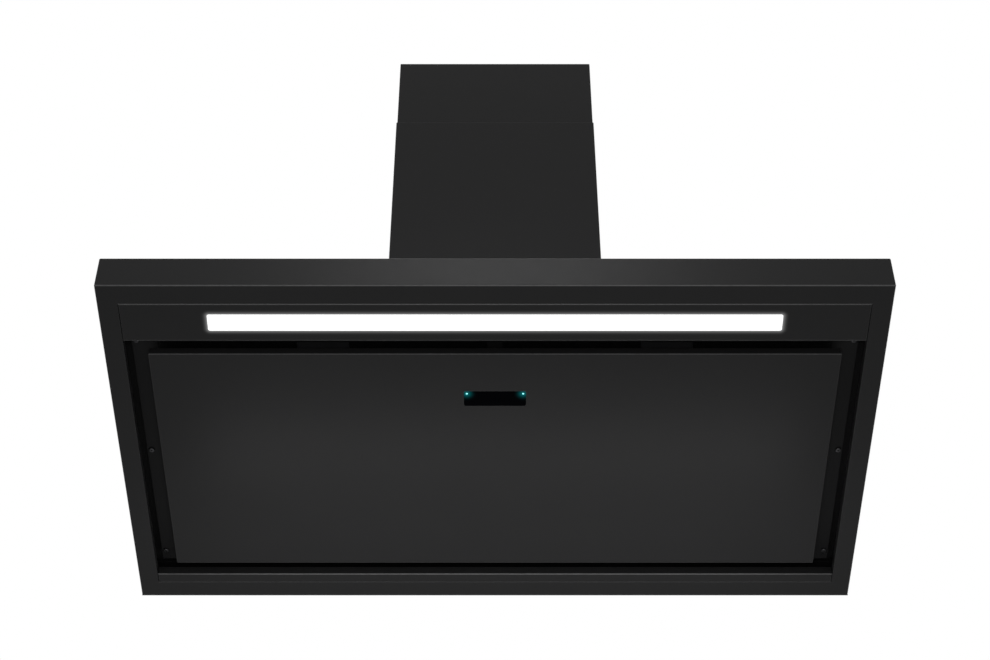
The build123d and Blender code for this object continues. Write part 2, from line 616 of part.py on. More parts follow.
def hinge_bracket(side):
    """Base under the frame's rear ledge with two cheeks, one each side of the panel's ear."""
    middle = side * HINGE_X
    inner, outer = cheek_offsets()
    base_x = (middle - HINGE_BASE_WIDTH / 2, middle + HINGE_BASE_WIDTH / 2)
    base_top = (FRAME_LEVEL - CHEEK_THICKNESS, FRAME_LEVEL)
    bracket = block(base_x, (HINGE_Y - HINGE_BASE_FRONT, FRAME_REAR), base_top)
    for hand in (-1, 1):
        cheek_x = sorted((middle + hand * inner, middle + hand * outer))
        cheek_y = (HINGE_Y - CHEEK_RADIUS, HINGE_Y + CHEEK_RADIUS)
        bracket += block(cheek_x, cheek_y, (HINGE_LEVEL, base_top[0]))
        bracket += rod(CHEEK_RADIUS, *cheek_x, (HINGE_Y, HINGE_LEVEL), "x")
        bracket -= rod(HINGE_PIN_RADIUS + PIN_PLAY / 2, *cheek_x, (HINGE_Y, HINGE_LEVEL), "x")
    return bracket


def hinge_pins():
    """One pin through each hinge."""
    reach = cheek_offsets()[1] + SEAM
    place = (HINGE_Y, HINGE_LEVEL)
    return [rod(HINGE_PIN_RADIUS, x - reach, x + reach, place, "x") for x in (-HINGE_X, HINGE_X)]


def catch_ranges(side):
    """The catches' extent on X and Y: over the panel's side lip."""
    x_range = sorted((side * INTAKE_X, side * (INTAKE_X + CATCH_WIDTH)))
    start = PANEL_FRONT + CATCH_SETBACK
    return x_range, (start, start + CATCH_LENGTH)


def catch_magnets():
    """Magnets under the frame's side ledges that hold the panel shut."""
    bottom = PANEL_HEIGHT + STRIKE_THICKNESS + SEAM
    return [block(*catch_ranges(side), (bottom, FRAME_LEVEL)) for side in (-1, 1)]


def strike_plates():
    """Steel plates on the panel's lip, under the magnets."""
    z_range = (PANEL_HEIGHT, PANEL_HEIGHT + STRIKE_THICKNESS)
    return [block(*catch_ranges(side), z_range) for side in (-1, 1)]


# --- Touchless sensor -------------------------------------------------------------------
def lamp_places():
    """The two status lamps, in the glass's front corners."""
    x = GLASS_LENGTH / 2 - LAMP_INSET_X
    y = GLASS_Y - GLASS_WIDTH / 2 + LAMP_INSET_Y
    return [(side * x, y) for side in (-1, 1)]


def sensor_glass():
    """Dark glass, flush in the panel's window, held by a flange that lies on the sheet."""
    corner = GLASS_CORNER - LENS_PLAY
    window = (GLASS_LENGTH - 2 * LENS_PLAY, GLASS_WIDTH - 2 * LENS_PLAY)
    glass = rounded_slab(*window, corner, (0, GLASS_THICKNESS), (0, GLASS_Y))
    flange = (GLASS_LENGTH + 2 * GLASS_LEDGE, GLASS_WIDTH + 2 * GLASS_LEDGE)
    glass += rounded_slab(*flange, GLASS_CORNER + GLASS_LEDGE, (SHEET, GLASS_THICKNESS), (0, GLASS_Y))
    for place in lamp_places():
        glass -= rod(LAMP_RADIUS + LENS_PLAY, 0, GLASS_THICKNESS, place)
    return glass


def status_lamps():
    """Light guides from the sensor board to the glass's face."""
    return [rod(LAMP_RADIUS, 0, SENSOR_BOARD_LEVEL, place) for place in lamp_places()]


def sensor_housing():
    """Moulded cover over the glass and the board, open towards the panel."""
    x, y = SENSOR_LENGTH / 2, SENSOR_WIDTH / 2
    wall = SENSOR_WALL
    top = SHEET + SENSOR_HEIGHT
    housing = block((-x, x), (GLASS_Y - y, GLASS_Y + y), (SHEET, top))
    housing = fillet(housing.edges().filter_by(Axis.Z), GLASS_CORNER)
    housing -= block((-x + wall, x - wall), (GLASS_Y - y + wall, GLASS_Y + y - wall), (SHEET, top - wall))
    board_top = SENSOR_BOARD_LEVEL + BOARD_THICKNESS
    for across in (-1, 1):
        for along in (-1, 1):
            place = (across * (x - SENSOR_POST_INSET), GLASS_Y + along * (y - SENSOR_POST_INSET))
            housing += rod(SENSOR_POST_RADIUS, board_top, top - wall, place)
    return housing


def sensor_board():
    """Circuit board under the housing's posts."""
    inset = SENSOR_WALL + SENSOR_BOARD_MARGIN
    x, y = SENSOR_LENGTH / 2 - inset, SENSOR_WIDTH / 2 - inset
    z_range = (SENSOR_BOARD_LEVEL, SENSOR_BOARD_LEVEL + BOARD_THICKNESS)
    return block((-x, x), (GLASS_Y - y, GLASS_Y + y), z_range)


# --- Grease filters ---------------------------------------------------------------------
def filter_middle(side):
    """Middle of a filter on X."""
    return side * (FILTER_INNER + FILTER_OUTER) / 2


def mesh_window(side, grow):
    """The filter window's extent on X and Y, grown into the frame's groove."""
    inner = FILTER_INNER + FILTER_BORDER - grow
    outer = FILTER_OUTER - FILTER_BORDER + grow
    y_range = (FILTER_FRONT + FILTER_HANDLE_BORDER - grow, FILTER_REAR - FILTER_BORDER + grow)
    return sorted((side * inner, side * outer)), y_range


def filter_frame(side):
    """Channel frame of a filter, with a groove for its mesh and a pocket for its latch."""
    top = LEDGE_TOP + FILTER_THICKNESS
    x_range = sorted((side * FILTER_INNER, side * FILTER_OUTER))
    frame = block(x_range, (FILTER_FRONT, FILTER_REAR), (LEDGE_TOP, top))
    frame -= block(*mesh_window(side, 0), (LEDGE_TOP, top))
    middle_z = LEDGE_TOP + FILTER_THICKNESS / 2
    groove = (middle_z - MESH_THICKNESS / 2, middle_z + MESH_THICKNESS / 2)
    frame -= block(*mesh_window(side, FILTER_GROOVE), groove)
    half = LATCH_LENGTH / 2 + SEAM
    middle = filter_middle(side)
    pocket_y = (FILTER_FRONT, FILTER_FRONT + LATCH_WIDTH - LATCH_REACH + LATCH_TRAVEL + SEAM)
    pocket_z = (LEDGE_TOP, LEDGE_TOP + LATCH_THICKNESS + 2 * SEAM)
    return frame - block((middle - half, middle + half), pocket_y, pocket_z)


def filter_mesh(side):
    """Layered metal filling of a filter, pierced by staggered rows of slots."""
    x_range, y_range = mesh_window(side, FILTER_GROOVE)
    middle_z = LEDGE_TOP + FILTER_THICKNESS / 2
    z_range = (middle_z - MESH_THICKNESS / 2, middle_z + MESH_THICKNESS / 2)
    mesh = block(x_range, y_range, z_range)
    window_x, window_y = mesh_window(side, 0)
    pitch_x = (window_x[1] - window_x[0]) / MESH_SLOT_COLUMNS
    pitch_y = (window_y[1] - window_y[0]) / MESH_SLOT_ROWS
    centre = ((window_x[0] + window_x[1]) / 2, (window_y[0] + window_y[1]) / 2, z_range[0])
    grid = GridLocations(pitch_x, pitch_y, MESH_SLOT_COLUMNS, MESH_SLOT_ROWS)
    slots = Sketch() + grid * SlotOverall(MESH_SLOT_LENGTH, MESH_SLOT_WIDTH)
    return mesh - Pos(*centre) * extrude(slots, MESH_THICKNESS)


def filter_latch(side):
    """Sliding latch: a plate whose tongue lies over the front ledge, with a finger tab below."""
    middle = filter_middle(side)
    half = LATCH_LENGTH / 2
    front = FILTER_FRONT - LATCH_REACH
    bottom = LEDGE_TOP + SEAM
    rear = front + LATCH_WIDTH
    plate = block((middle - half, middle + half), (front, rear), (bottom, bottom + LATCH_THICKNESS))
    tab_x = (middle - TAB_LENGTH / 2, middle + TAB_LENGTH / 2)
    return plate + block(tab_x, (rear - TAB_THICKNESS, rear), (bottom - TAB_DROP, bottom))


# --- Blower box -------------------------------------------------------------------------
def collar_screw_places():
    """Corners at which the collar, the box's top and the scroll's flange are joined."""
    x = SCROLL_SIDE + MOUTH_FLANGE / 2
    y = MOUTH_DEPTH / 2 + SCROLL_WALL + MOUTH_FLANGE / 2
    return [(across * x, MOUTH_Y + along * y) for across in (-1, 1) for along in (-1, 1)]


def motor_box():
    """Galvanised wrap of the blower box: its sides and front, with feet below and flanges for the lid."""
    half = BOX_WIDTH / 2
    wall = BACK_SHEET
    lid = BOX_TOP - wall
    inside_y = (-BOX_DEPTH + wall, -wall)
    box = block((-half, half), (-BOX_DEPTH, -wall), (CANOPY_HEIGHT, lid))
    box -= block((-half + wall, half - wall), inside_y, (CANOPY_HEIGHT + wall, lid))
    foot_x = half - wall - BOX_FLANGE
    foot_front = -BOX_DEPTH + wall + BOX_FLANGE
    box -= block((-foot_x, foot_x), (foot_front, -wall), (CANOPY_HEIGHT, CANOPY_HEIGHT + wall))
    for across in (-1, 1):
        flange_x = sorted((across * (half - wall), across * (half - wall - LID_FLANGE)))
        box += block(flange_x, inside_y, (lid - wall, lid))
    for place in box_screw_places():
        box -= screw_hole(place, (CANOPY_HEIGHT, CANOPY_HEIGHT + wall))
    return box


def box_back():
    """Back plate of the blower box, which hangs on the wall."""
    wall = BACK_SHEET
    plate = block((-BOX_WIDTH / 2, BOX_WIDTH / 2), (-wall, 0), (CANOPY_HEIGHT, BOX_TOP))
    for across in (-1, 1):
        for up in (-1, 1):
            place = (across * HANG_SPACING_X / 2, CANOPY_HEIGHT + HANG_LEVEL + up * HANG_SPACING_Z / 2)
            plate -= rod(HANG_HOLE_RADIUS, -wall, 0, place, "y")
    return plate


def box_lid():
    """Lid of the blower box, with the holes for the collar and the cable gland."""
    top = (BOX_TOP - BACK_SHEET, BOX_TOP)
    lid = block((-BOX_WIDTH / 2, BOX_WIDTH / 2), (-BOX_DEPTH, -BACK_SHEET), top)
    lid -= rod(COLLAR_BORE, *top, (0, MOUTH_Y))
    lid -= rod(GLAND_SHANK_RADIUS + PIN_PLAY, *top, (GLAND_X, GLAND_Y))
    for place in collar_screw_places():
        lid -= screw_hole(place, top)
    return lid


def motor_box_screws():
    """Screws from the box's feet down into the canopy's roof."""
    seat = CANOPY_HEIGHT + BACK_SHEET
    return [screw(place, seat, -SCREW_GRIP / 2) for place in box_screw_places()]


# --- Scroll -----------------------------------------------------------------------------
def volute_face(grow):
    """The scroll's outline about the impeller's axis, grown by a wall: three quarter turns
    whose centre steps round a small square, then straight walls up to the mouth."""
    step = SCROLL_STEP
    first = SCROLL_FIRST_RADIUS + grow
    rear = TONGUE_REACH + grow
    front = -step / 2 - first - 2 * step
    turn = math.degrees(math.acos((rear - step / 2) / first))
    arc_rear = CenterArc((step / 2, -step / 2), first, 0, turn)
    arc_bottom = CenterArc((-step / 2, -step / 2), first + step, 270, 90)
    arc_front = CenterArc((-step / 2, step / 2), first + 2 * step, 180, 90)
    mouth = Polyline(arc_rear @ 1, (rear, MOUTH_RISE), (front, MOUTH_RISE), (front, step / 2))
    outline = make_face([arc_rear.edge(), arc_bottom.edge(), arc_front.edge(), *mouth.edges()])
    return Pos(0, AXIS_Y, AXIS_Z) * (Plane.YZ * outline)


def scroll_half(side):
    """One moulded half of the scroll, with its inlet, the inlet's lip and half the flange."""
    direction = (side, 0, 0)
    half = extrude(volute_face(SCROLL_WALL), SCROLL_SIDE, dir=direction)
    top = AXIS_Z + MOUTH_RISE
    flange_y = MOUTH_DEPTH / 2 + SCROLL_WALL + MOUTH_FLANGE
    flange_x = (0, side * FLANGE_X)
    half += block(flange_x, (MOUTH_Y - flange_y, MOUTH_Y + flange_y), (top - SCROLL_WALL, top))
    half -= extrude(volute_face(0), SCROLL_WIDTH / 2, dir=direction)
    axis = (AXIS_Y, AXIS_Z)
    lip = sorted((side * (SCROLL_WIDTH / 2 - INLET_LIP), side * SCROLL_WIDTH / 2))
    half += rod(INLET_RADIUS + SCROLL_WALL, *lip, axis, "x")
    through = sorted((side * (SCROLL_WIDTH / 2 - INLET_LIP), side * SCROLL_SIDE))
    half -= rod(INLET_RADIUS, *through, axis, "x")
    for place in collar_screw_places():
        if place[0] * side > 0:
            half -= screw_hole(place, (top - SCROLL_WALL, top))
    if side > 0:
        for place in bush_places():
            wall = (SCROLL_WIDTH / 2, SCROLL_SIDE)
            half -= rod(SCREW_RADIUS + PIN_PLAY, *wall, place, "x")
    return half


# --- Impeller ---------------------------------------------------------------------------
def polar(radius, angle):
    """A point in the impeller's plane, from the impeller's axis."""
    return (radius * math.cos(math.radians(angle)), radius * math.sin(math.radians(angle)))


def blade_face():
    """Cross-section of one forward-curved blade: two arcs a sheet apart."""
    root = IMPELLER_RADIUS - BLADE_DEPTH
    middle = (root + IMPELLER_RADIUS) / 2
    thick = math.degrees(BLADE_SHEET / middle)
    curves = []
    for shift in (0, thick):
        start = polar(root, shift)
        bulge = polar(middle, shift + BLADE_LEAN / 4)
        curves.append(ThreePointArc(start, bulge, polar(IMPELLER_RADIUS - SEAM, shift + BLADE_LEAN)))
    ends = [Line(curves[0] @ 0, curves[1] @ 0), Line(curves[0] @ 1, curves[1] @ 1)]
    return make_face([curve.edge() for curve in curves + ends])


def impeller():
    """Double-inlet wheel: a middle disc with its hub, a ring at each end, blades between."""
    axis = (AXIS_Y, AXIS_Z)
    half = IMPELLER_WIDTH / 2
    wheel = rod(IMPELLER_RADIUS, -RING_THICKNESS / 2, RING_THICKNESS / 2, axis, "x")
    wheel += rod(HUB_RADIUS, -HUB_LENGTH / 2, HUB_LENGTH / 2, axis, "x")
    for side in (-1, 1):
        ring = sorted((side * half, side * (half - RING_THICKNESS)))
        wheel += tube(IMPELLER_RADIUS, IMPELLER_RADIUS - RING_DEPTH, *ring, axis, "x")
    blade = Plane.YZ * blade_face()
    blade = Pos(-half, 0, 0) * extrude(blade, IMPELLER_WIDTH, dir=(1, 0, 0))
    blades = [Rot(index * 360 / BLADE_COUNT, 0, 0) * blade for index in range(BLADE_COUNT)]
    wheel += [Pos(0, *axis) * each for each in blades]
    return wheel - rod(SHAFT_RADIUS, -HUB_LENGTH / 2, HUB_LENGTH / 2, axis, "x")


def motor_shaft():
    """Shaft from the hub into the motor."""
    start = -HUB_LENGTH / 2 - MOTOR_GAP
    return rod(SHAFT_RADIUS, start, MOTOR_REAR - SHIELD_LENGTH / 2, (AXIS_Y, AXIS_Z), "x")


# --- Motor ------------------------------------------------------------------------------
def bush_places():
    """Where the motor's spider meets the scroll's side, round the inlet."""
    turns = [90 + index * 360 / SPIDER_ARMS for index in range(SPIDER_ARMS)]
    offsets = [polar(BUSH_CIRCLE_RADIUS, turn) for turn in turns]
    return [(AXIS_Y + y, AXIS_Z + z) for y, z in offsets]


def motor_stator():
    """Laminated stator between the two shields."""
    start = MOTOR_FRONT + SHIELD_LENGTH
    bore = SHAFT_RADIUS + SHAFT_PLAY
    return tube(MOTOR_RADIUS, bore, start, start + STATOR_LENGTH, (AXIS_Y, AXIS_Z), "x")


def motor_shields():
    """Cast front and rear shields: the front one open for the shaft, the rear one closed."""
    axis = (AXIS_Y, AXIS_Z)
    front = rod(SHIELD_RADIUS, MOTOR_FRONT, MOTOR_FRONT + SHIELD_LENGTH, axis, "x")
    rear = rod(SHIELD_RADIUS, MOTOR_REAR - SHIELD_LENGTH, MOTOR_REAR, axis, "x")
    front = fillet(front.edges().group_by(Axis.X)[0], BEND * 2)
    bore = rod(SHAFT_RADIUS + SHAFT_PLAY, MOTOR_FRONT, MOTOR_REAR - SHIELD_LENGTH / 2 + SHAFT_PLAY, axis, "x")
    return [front - bore, rear - bore]


def motor_spider():
    """Three-armed steel bracket that carries the motor in the right inlet."""
    axis = (AXIS_Y, AXIS_Z)
    span = (MOTOR_REAR, MOTOR_REAR + SPIDER_THICKNESS)
    spider = rod(SPIDER_RING_OUTER, *span, axis, "x")
    reach = BUSH_CIRCLE_RADIUS + BUSH_RADIUS
    for index in range(SPIDER_ARMS):
        arm = block(span, (0, reach), (-SPIDER_ARM_WIDTH / 2, SPIDER_ARM_WIDTH / 2))
        spider += Pos(0, *axis) * Rot(90 + index * 360 / SPIDER_ARMS, 0, 0) * arm
    spider -= rod(SPIDER_RING_INNER, *span, axis, "x")
    for place in bush_places():
        spider -= rod(SCREW_RADIUS + SCREW_PLAY, *span, place, "x")
    return spider


def motor_bushes():
    """Rubber bushes between the spider and the scroll."""
    bore = SCREW_RADIUS + SCREW_PLAY
    return [tube(BUSH_RADIUS, bore, SCROLL_SIDE, MOTOR_REAR, place, "x") for place in bush_places()]


def motor_screws():
    """Screws through the spider and its bushes into the scroll."""
    screws = []
    seat = MOTOR_REAR + SPIDER_THICKNESS
    for place in bush_places():
        shank = rod(SCREW_RADIUS, SCROLL_WIDTH / 2, seat, place, "x")
        screws.append(shank + rod(SCREW_HEAD_RADIUS, seat, seat + SCREW_HEAD_HEIGHT, place, "x"))
    return screws


def motor_capacitor():
    """Run capacitor on the box's right wall."""
    wall = BOX_WIDTH / 2 - BACK_SHEET
    body = rod(CAPACITOR_RADIUS, wall - CAPACITOR_LENGTH, wall, (CAPACITOR_Y, CAPACITOR_Z), "x")
    return fillet(body.edges().group_by(Axis.X)[0], BEND)


# --- Outlet collar ----------------------------------------------------------------------
def flap_axis(side):
    """A flap pin's place on Y and Z."""
    return (MOUTH_Y + side * FLAP_PIN_OFFSET, FLAP_Z)


def outlet_collar():
    """Plate and spigot for the duct, with a bar and a sill that the flaps close against."""
    centre = (0, MOUTH_Y)
    x = FLANGE_X + COLLAR_SIDE_MARGIN
    y = MOUTH_DEPTH / 2 + SCROLL_WALL + MOUTH_FLANGE + COLLAR_END_MARGIN
    collar = block((-x, x), (MOUTH_Y - y, MOUTH_Y + y), (BOX_TOP, COLLAR_BASE))
    collar = fillet(collar.edges().filter_by(Axis.Z), COLLAR_PLATE_CORNER)
    collar += rod(COLLAR_RADIUS, COLLAR_BASE, COLLAR_BASE + COLLAR_HEIGHT, centre)
    collar -= rod(COLLAR_BORE, BOX_TOP, COLLAR_BASE + COLLAR_HEIGHT, centre)
    sill_top = FLAP_Z - FLAP_THICKNESS / 2 - SEAM
    collar += tube(COLLAR_BORE, COLLAR_BORE - SILL_DEPTH, sill_top - SILL_HEIGHT, sill_top, centre)
    bar_y = (MOUTH_Y - BAR_THICKNESS / 2, MOUTH_Y + BAR_THICKNESS / 2)
    collar += block((-COLLAR_BORE, COLLAR_BORE), bar_y, (FLAP_Z - BAR_HEIGHT / 2, FLAP_Z + BAR_HEIGHT / 2))
    for side in (-1, 1):
        collar -= rod(FLAP_PIN_RADIUS + PIN_PLAY, -COLLAR_RADIUS, COLLAR_RADIUS, flap_axis(side), "x")
    for place in collar_screw_places():
        collar -= screw_hole(place, (BOX_TOP, COLLAR_BASE))
    return collar


def collar_screws():
    """Screws through the collar, the box's top and the scroll's flange."""
    return [screw(place, COLLAR_BASE, -SCREW_GRIP) for place in collar_screw_places()]


def flap(side):
    """Half-round flap with a knuckle round its pin."""
    y, z = flap_axis(side)
    level = (z - FLAP_THICKNESS / 2, z + FLAP_THICKNESS / 2)
    disc = rod(COLLAR_BORE - FLAP_GAP, *level, (0, MOUTH_Y))
    plate = disc & block((-COLLAR_RADIUS, COLLAR_RADIUS), (y, MOUTH_Y + side * COLLAR_RADIUS), level)
    half = COLLAR_BORE - KNUCKLE_MARGIN
    plate += rod(KNUCKLE_RADIUS, -half, half, (y, z), "x")
    return plate - rod(FLAP_PIN_RADIUS + PIN_PLAY, -COLLAR_RADIUS, COLLAR_RADIUS, (y, z), "x")


def flap_pins():
    """The two pins across the collar."""
    reach = COLLAR_RADIUS - SEAM
    return [rod(FLAP_PIN_RADIUS, -reach, reach, flap_axis(side), "x") for side in (-1, 1)]


def cable_gland():
    """Mains cable gland in the box's top, with its nut below."""
    place = (GLAND_X, GLAND_Y)
    hexagon = RegularPolygon(GLAND_HEX_RADIUS, 6)
    gland = Pos(*place, BOX_TOP) * extrude(hexagon, GLAND_HEX_HEIGHT)
    dome_base = BOX_TOP + GLAND_HEX_HEIGHT
    dome = rod(GLAND_DOME_RADIUS, dome_base, dome_base + GLAND_DOME_HEIGHT, place)
    gland += fillet(dome.edges().group_by(Axis.Z)[-1], BEND)
    gland += rod(GLAND_SHANK_RADIUS, BOX_TOP - GLAND_SHANK_LENGTH, BOX_TOP, place)
    gland -= rod(GLAND_BORE_RADIUS, BOX_TOP - GLAND_SHANK_LENGTH, dome_base + GLAND_DOME_HEIGHT, place)
    nut_top = BOX_TOP - BACK_SHEET
    nut = Pos(*place, nut_top - GLAND_NUT_HEIGHT) * extrude(hexagon, GLAND_NUT_HEIGHT)
    nut -= rod(GLAND_SHANK_RADIUS + PIN_PLAY, nut_top - GLAND_NUT_HEIGHT, nut_top, place)
    return [gland, nut]


# --- Chimney ----------------------------------------------------------------------------
def chimney_section(half, front, rear, z_range, flange):
    """A sheet cover with a front and two sides, its rear edges turned in."""
    cover = block((-half, half), (front, rear), z_range)
    verticals = cover.edges().filter_by(Axis.Z).group_by(Axis.Y)[0]
    cover = fillet(verticals, CHIMNEY_BEND)
    inner = half - CHIMNEY_SHEET
    cover -= block((-inner, inner), (front + CHIMNEY_SHEET, rear - CHIMNEY_SHEET), z_range)
    gap = half - flange
    return cover - block((-gap, gap), (rear - CHIMNEY_SHEET, rear), z_range)


def lower_chimney():
    """Lower section, standing on the canopy's roof on feet turned in at its base."""
    cover = chimney_section(CHIMNEY_X, CHIMNEY_FRONT, 0, (CANOPY_HEIGHT, LOWER_TOP), LOWER_REAR_FLANGE)
    foot_z = (CANOPY_HEIGHT, CANOPY_HEIGHT + CHIMNEY_SHEET)
    inner = CHIMNEY_X - CHIMNEY_SHEET
    front = CHIMNEY_FRONT + CHIMNEY_SHEET
    feet = block((-inner, inner), (front, -CHIMNEY_SHEET), foot_z)
    feet -= block((-inner + LOWER_FOOT, inner - LOWER_FOOT), (front + LOWER_FOOT, -CHIMNEY_SHEET), foot_z)
    cover += feet
    for place in foot_screw_places():
        cover -= screw_hole(place, foot_z)
    return cover


def chimney_foot_screws():
    """Screws from the lower section's feet down into the canopy's roof."""
    seat = CANOPY_HEIGHT + CHIMNEY_SHEET
    return [screw(place, seat, -SCREW_GRIP / 2) for place in foot_screw_places()]


def bracket_screw_level():
    """Height of the screws that hold the upper section to its bracket."""
    return UPPER_TOP - BRACKET_DROP - BRACKET_HEIGHT / 2


def upper_chimney():
    """Upper section, which slides inside the lower one."""
    z_range = (UPPER_TOP - UPPER_LENGTH, UPPER_TOP)
    cover = chimney_section(UPPER_X, UPPER_FRONT, -UPPER_WALL_GAP, z_range, UPPER_REAR_FLANGE)
    place = (-BRACKET_SCREW_SETBACK, bracket_screw_level())
    return cover - rod(SCREW_RADIUS + SCREW_PLAY, -UPPER_X, UPPER_X, place, "x")


def chimney_bracket():
    """Wall bracket at the top: a flat strip whose ends step forward round the section's
    rear flanges and run along the inside of its sides."""
    top = UPPER_TOP - BRACKET_DROP
    z_range = (top - BRACKET_HEIGHT, top)
    half = BRACKET_X
    sheet = BRACKET_SHEET
    inner = UPPER_X - CHIMNEY_SHEET
    strip = block((-half, half), (-sheet, 0), z_range)
    arms = []
    for side in (-1, 1):
        arms.append(block((side * (half - sheet), side * half), (-BRACKET_STEP - sheet, 0), z_range))
        arms.append(block((side * half, side * inner), (-BRACKET_STEP - sheet, -BRACKET_STEP), z_range))
        arms.append(block((side * (inner - sheet), side * inner), (-BRACKET_ARM, -BRACKET_STEP), z_range))
    strip += arms
    for side in (-1, 1):
        place = (side * BRACKET_HOLE_X, top - BRACKET_HEIGHT / 2)
        strip -= rod(BRACKET_HOLE_RADIUS, -sheet, 0, place, "y")
    place = (-BRACKET_SCREW_SETBACK, bracket_screw_level())
    return strip - rod(SCREW_RADIUS + PIN_PLAY, -inner, inner, place, "x")


def chimney_screws():
    """Screws through the upper section's sides into the bracket's arms."""
    screws = []
    place = (-BRACKET_SCREW_SETBACK, bracket_screw_level())
    tip = UPPER_X - CHIMNEY_SHEET - SCREW_GRIP / 2
    for side in (-1, 1):
        shank = rod(SCREW_RADIUS, *sorted((side * tip, side * UPPER_X)), place, "x")
        head = sorted((side * UPPER_X, side * (UPPER_X + SCREW_HEAD_HEIGHT)))
        screws.append(shank + rod(SCREW_HEAD_RADIUS, *head, place, "x"))
    return screws


# --- All sub-parts ----------------------------------------------------------------------
SINGLE = [
    canopy_shell, wall_plate, rear_rail,
    front_light_panel, light_diffuser, light_channel, led_strip, led_driver,
    control_box, control_lid, control_board,
    intake_frame, frame_posts, frame_screws,
    suction_panel, hinge_pins, catch_magnets, strike_plates,
    sensor_glass, status_lamps, sensor_housing, sensor_board,
    motor_box, box_back, box_lid, motor_box_screws, impeller, motor_shaft,
    motor_stator, motor_shields, motor_spider, motor_bushes, motor_screws, motor_capacitor,
    outlet_collar, collar_screws, flap_pins, cable_gland,
    lower_chimney, chimney_foot_screws, upper_chimney, chimney_bracket, chimney_screws,
]
PAIRED = [hinge_bracket, filter_frame, filter_mesh, filter_latch, scroll_half]
FLAPS = {"flap_front": -1, "flap_rear": 1}


def write(name, shape):
    """Write one sub-part, or a group of separate solids under one name."""
    solids = shape if isinstance(shape, list) else [shape]
    group = Compound(children=[solid for part in solids for solid in part.solids()])
    group.label = name
    export_step(group, f"parts/{name}.step")


def main():
    """Build every sub-part and write it under its own name."""
    os.makedirs("parts", exist_ok=True)
    for make in SINGLE:
        write(make.__name__, make())
    for make in PAIRED:
        for hand, side in SIDES.items():
            write(f"{make.__name__}_{hand}", make(side))
    for name, side in FLAPS.items():
        write(name, flap(side))


main()
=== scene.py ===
"""Looks of a black wall-mounted chimney range hood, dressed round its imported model.

The hood hangs on a wall behind Y = 0, its room side towards -Y, and the underside of its rim
is at Z = 0. Every length is in metres and every angle in degrees, unless a name says otherwise.
"""
import sys
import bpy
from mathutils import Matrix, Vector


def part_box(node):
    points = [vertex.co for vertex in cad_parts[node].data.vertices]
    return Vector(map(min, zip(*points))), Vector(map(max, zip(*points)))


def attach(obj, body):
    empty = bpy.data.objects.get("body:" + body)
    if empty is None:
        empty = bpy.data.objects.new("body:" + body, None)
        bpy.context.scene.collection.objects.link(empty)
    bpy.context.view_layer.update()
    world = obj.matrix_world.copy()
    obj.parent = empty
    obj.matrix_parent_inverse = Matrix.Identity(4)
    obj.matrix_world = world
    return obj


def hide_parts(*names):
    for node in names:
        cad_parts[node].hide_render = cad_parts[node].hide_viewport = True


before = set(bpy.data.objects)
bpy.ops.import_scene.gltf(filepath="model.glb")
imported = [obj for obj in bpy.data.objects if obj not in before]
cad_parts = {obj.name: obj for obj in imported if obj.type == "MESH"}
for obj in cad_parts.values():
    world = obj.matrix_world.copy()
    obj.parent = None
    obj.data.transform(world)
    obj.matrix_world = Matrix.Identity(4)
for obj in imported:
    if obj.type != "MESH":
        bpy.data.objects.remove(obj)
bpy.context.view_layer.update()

import logging
import math
from dataclasses import dataclass
from enum import Enum
from typing import Callable, ClassVar, Iterable, Sequence

import bpy
from mathutils import Matrix, Vector

Colour = tuple[float, float, float]
Point = tuple[float, float, float]
Pair = tuple[float, float]
Piece = bpy.types.Object
Socket = bpy.types.NodeSocket
Material = bpy.types.Material
Input = float | Sequence[float] | Socket
Test = Callable[[Vector, Vector], bool]

LOG = logging.getLogger("hood")
MM = 0.001
WHITE = (1.0, 1.0, 1.0, 1.0)
UNIT: Pair = (0.0, 1.0)
MOST: Pair = (0.3, 0.7)           # where most values of a noise lie
FOLD_TURN: Pair = (0.14, 0.39)    # how turned a bend looks at its border and at its middle
EDGE_TURN: Pair = (0.995, 0.85)   # how far a rounded normal agrees with the flat one
BEVEL_SAMPLES = 8
SMOOTH_BELOW = 35.0
GLOW_FALL = 4.0   # how steeply a glow fades with distance
ALONG = 0.9       # a direction's part on an axis, from which it runs along it
FLAT = 0.99       # the same for a face that lies square to the axis
ACROSS = 0.1      # and up to which it runs across it


# --- Node trees ---
class Nodes:
    """A node tree, with short calls that add and link its nodes."""

    def __init__(self, tree: bpy.types.NodeTree) -> None:
        """Work on one tree."""
        self.tree = tree

    def plug(self, socket: Socket, value: Input) -> None:
        """Link an input socket to an output, or set its value."""
        if isinstance(value, Socket):
            self.tree.links.new(value, socket)
        else:
            socket.default_value = value

    def add(self, kind: str, inputs: dict[str | int, Input],
            **settings: object) -> bpy.types.Node:
        """Add one node of a ShaderNode kind, with its inputs and its own settings."""
        node = self.tree.nodes.new("ShaderNode" + kind)
        for key, value in settings.items():
            setattr(node, key, value)
        for key, value in inputs.items():
            self.plug(node.inputs[key], value)
        return node

    def maths(self, operation: str, a: Input, b: Input = 0.0) -> Socket:
        """One Math node's result."""
        return self.add("Math", {0: a, 1: b}, operation=operation).outputs[0]

    def span(self, value: Input, source: Pair, target: Pair) -> Socket:
        """Map one range of a value on another, and clamp it."""
        inputs = {0: value, 1: source[0], 2: source[1], 3: target[0], 4: target[1]}
        return self.add("MapRange", inputs).outputs[0]

    def seen(self) -> Socket:
        """1 for the rays that see, mirror or look through, and 0 for those that light."""
        rays = self.add("LightPath", {}).outputs
        direct = self.maths("MAXIMUM", rays["Is Camera Ray"], rays["Is Glossy Ray"])
        return self.maths("MAXIMUM", direct, rays["Is Transmission Ray"])


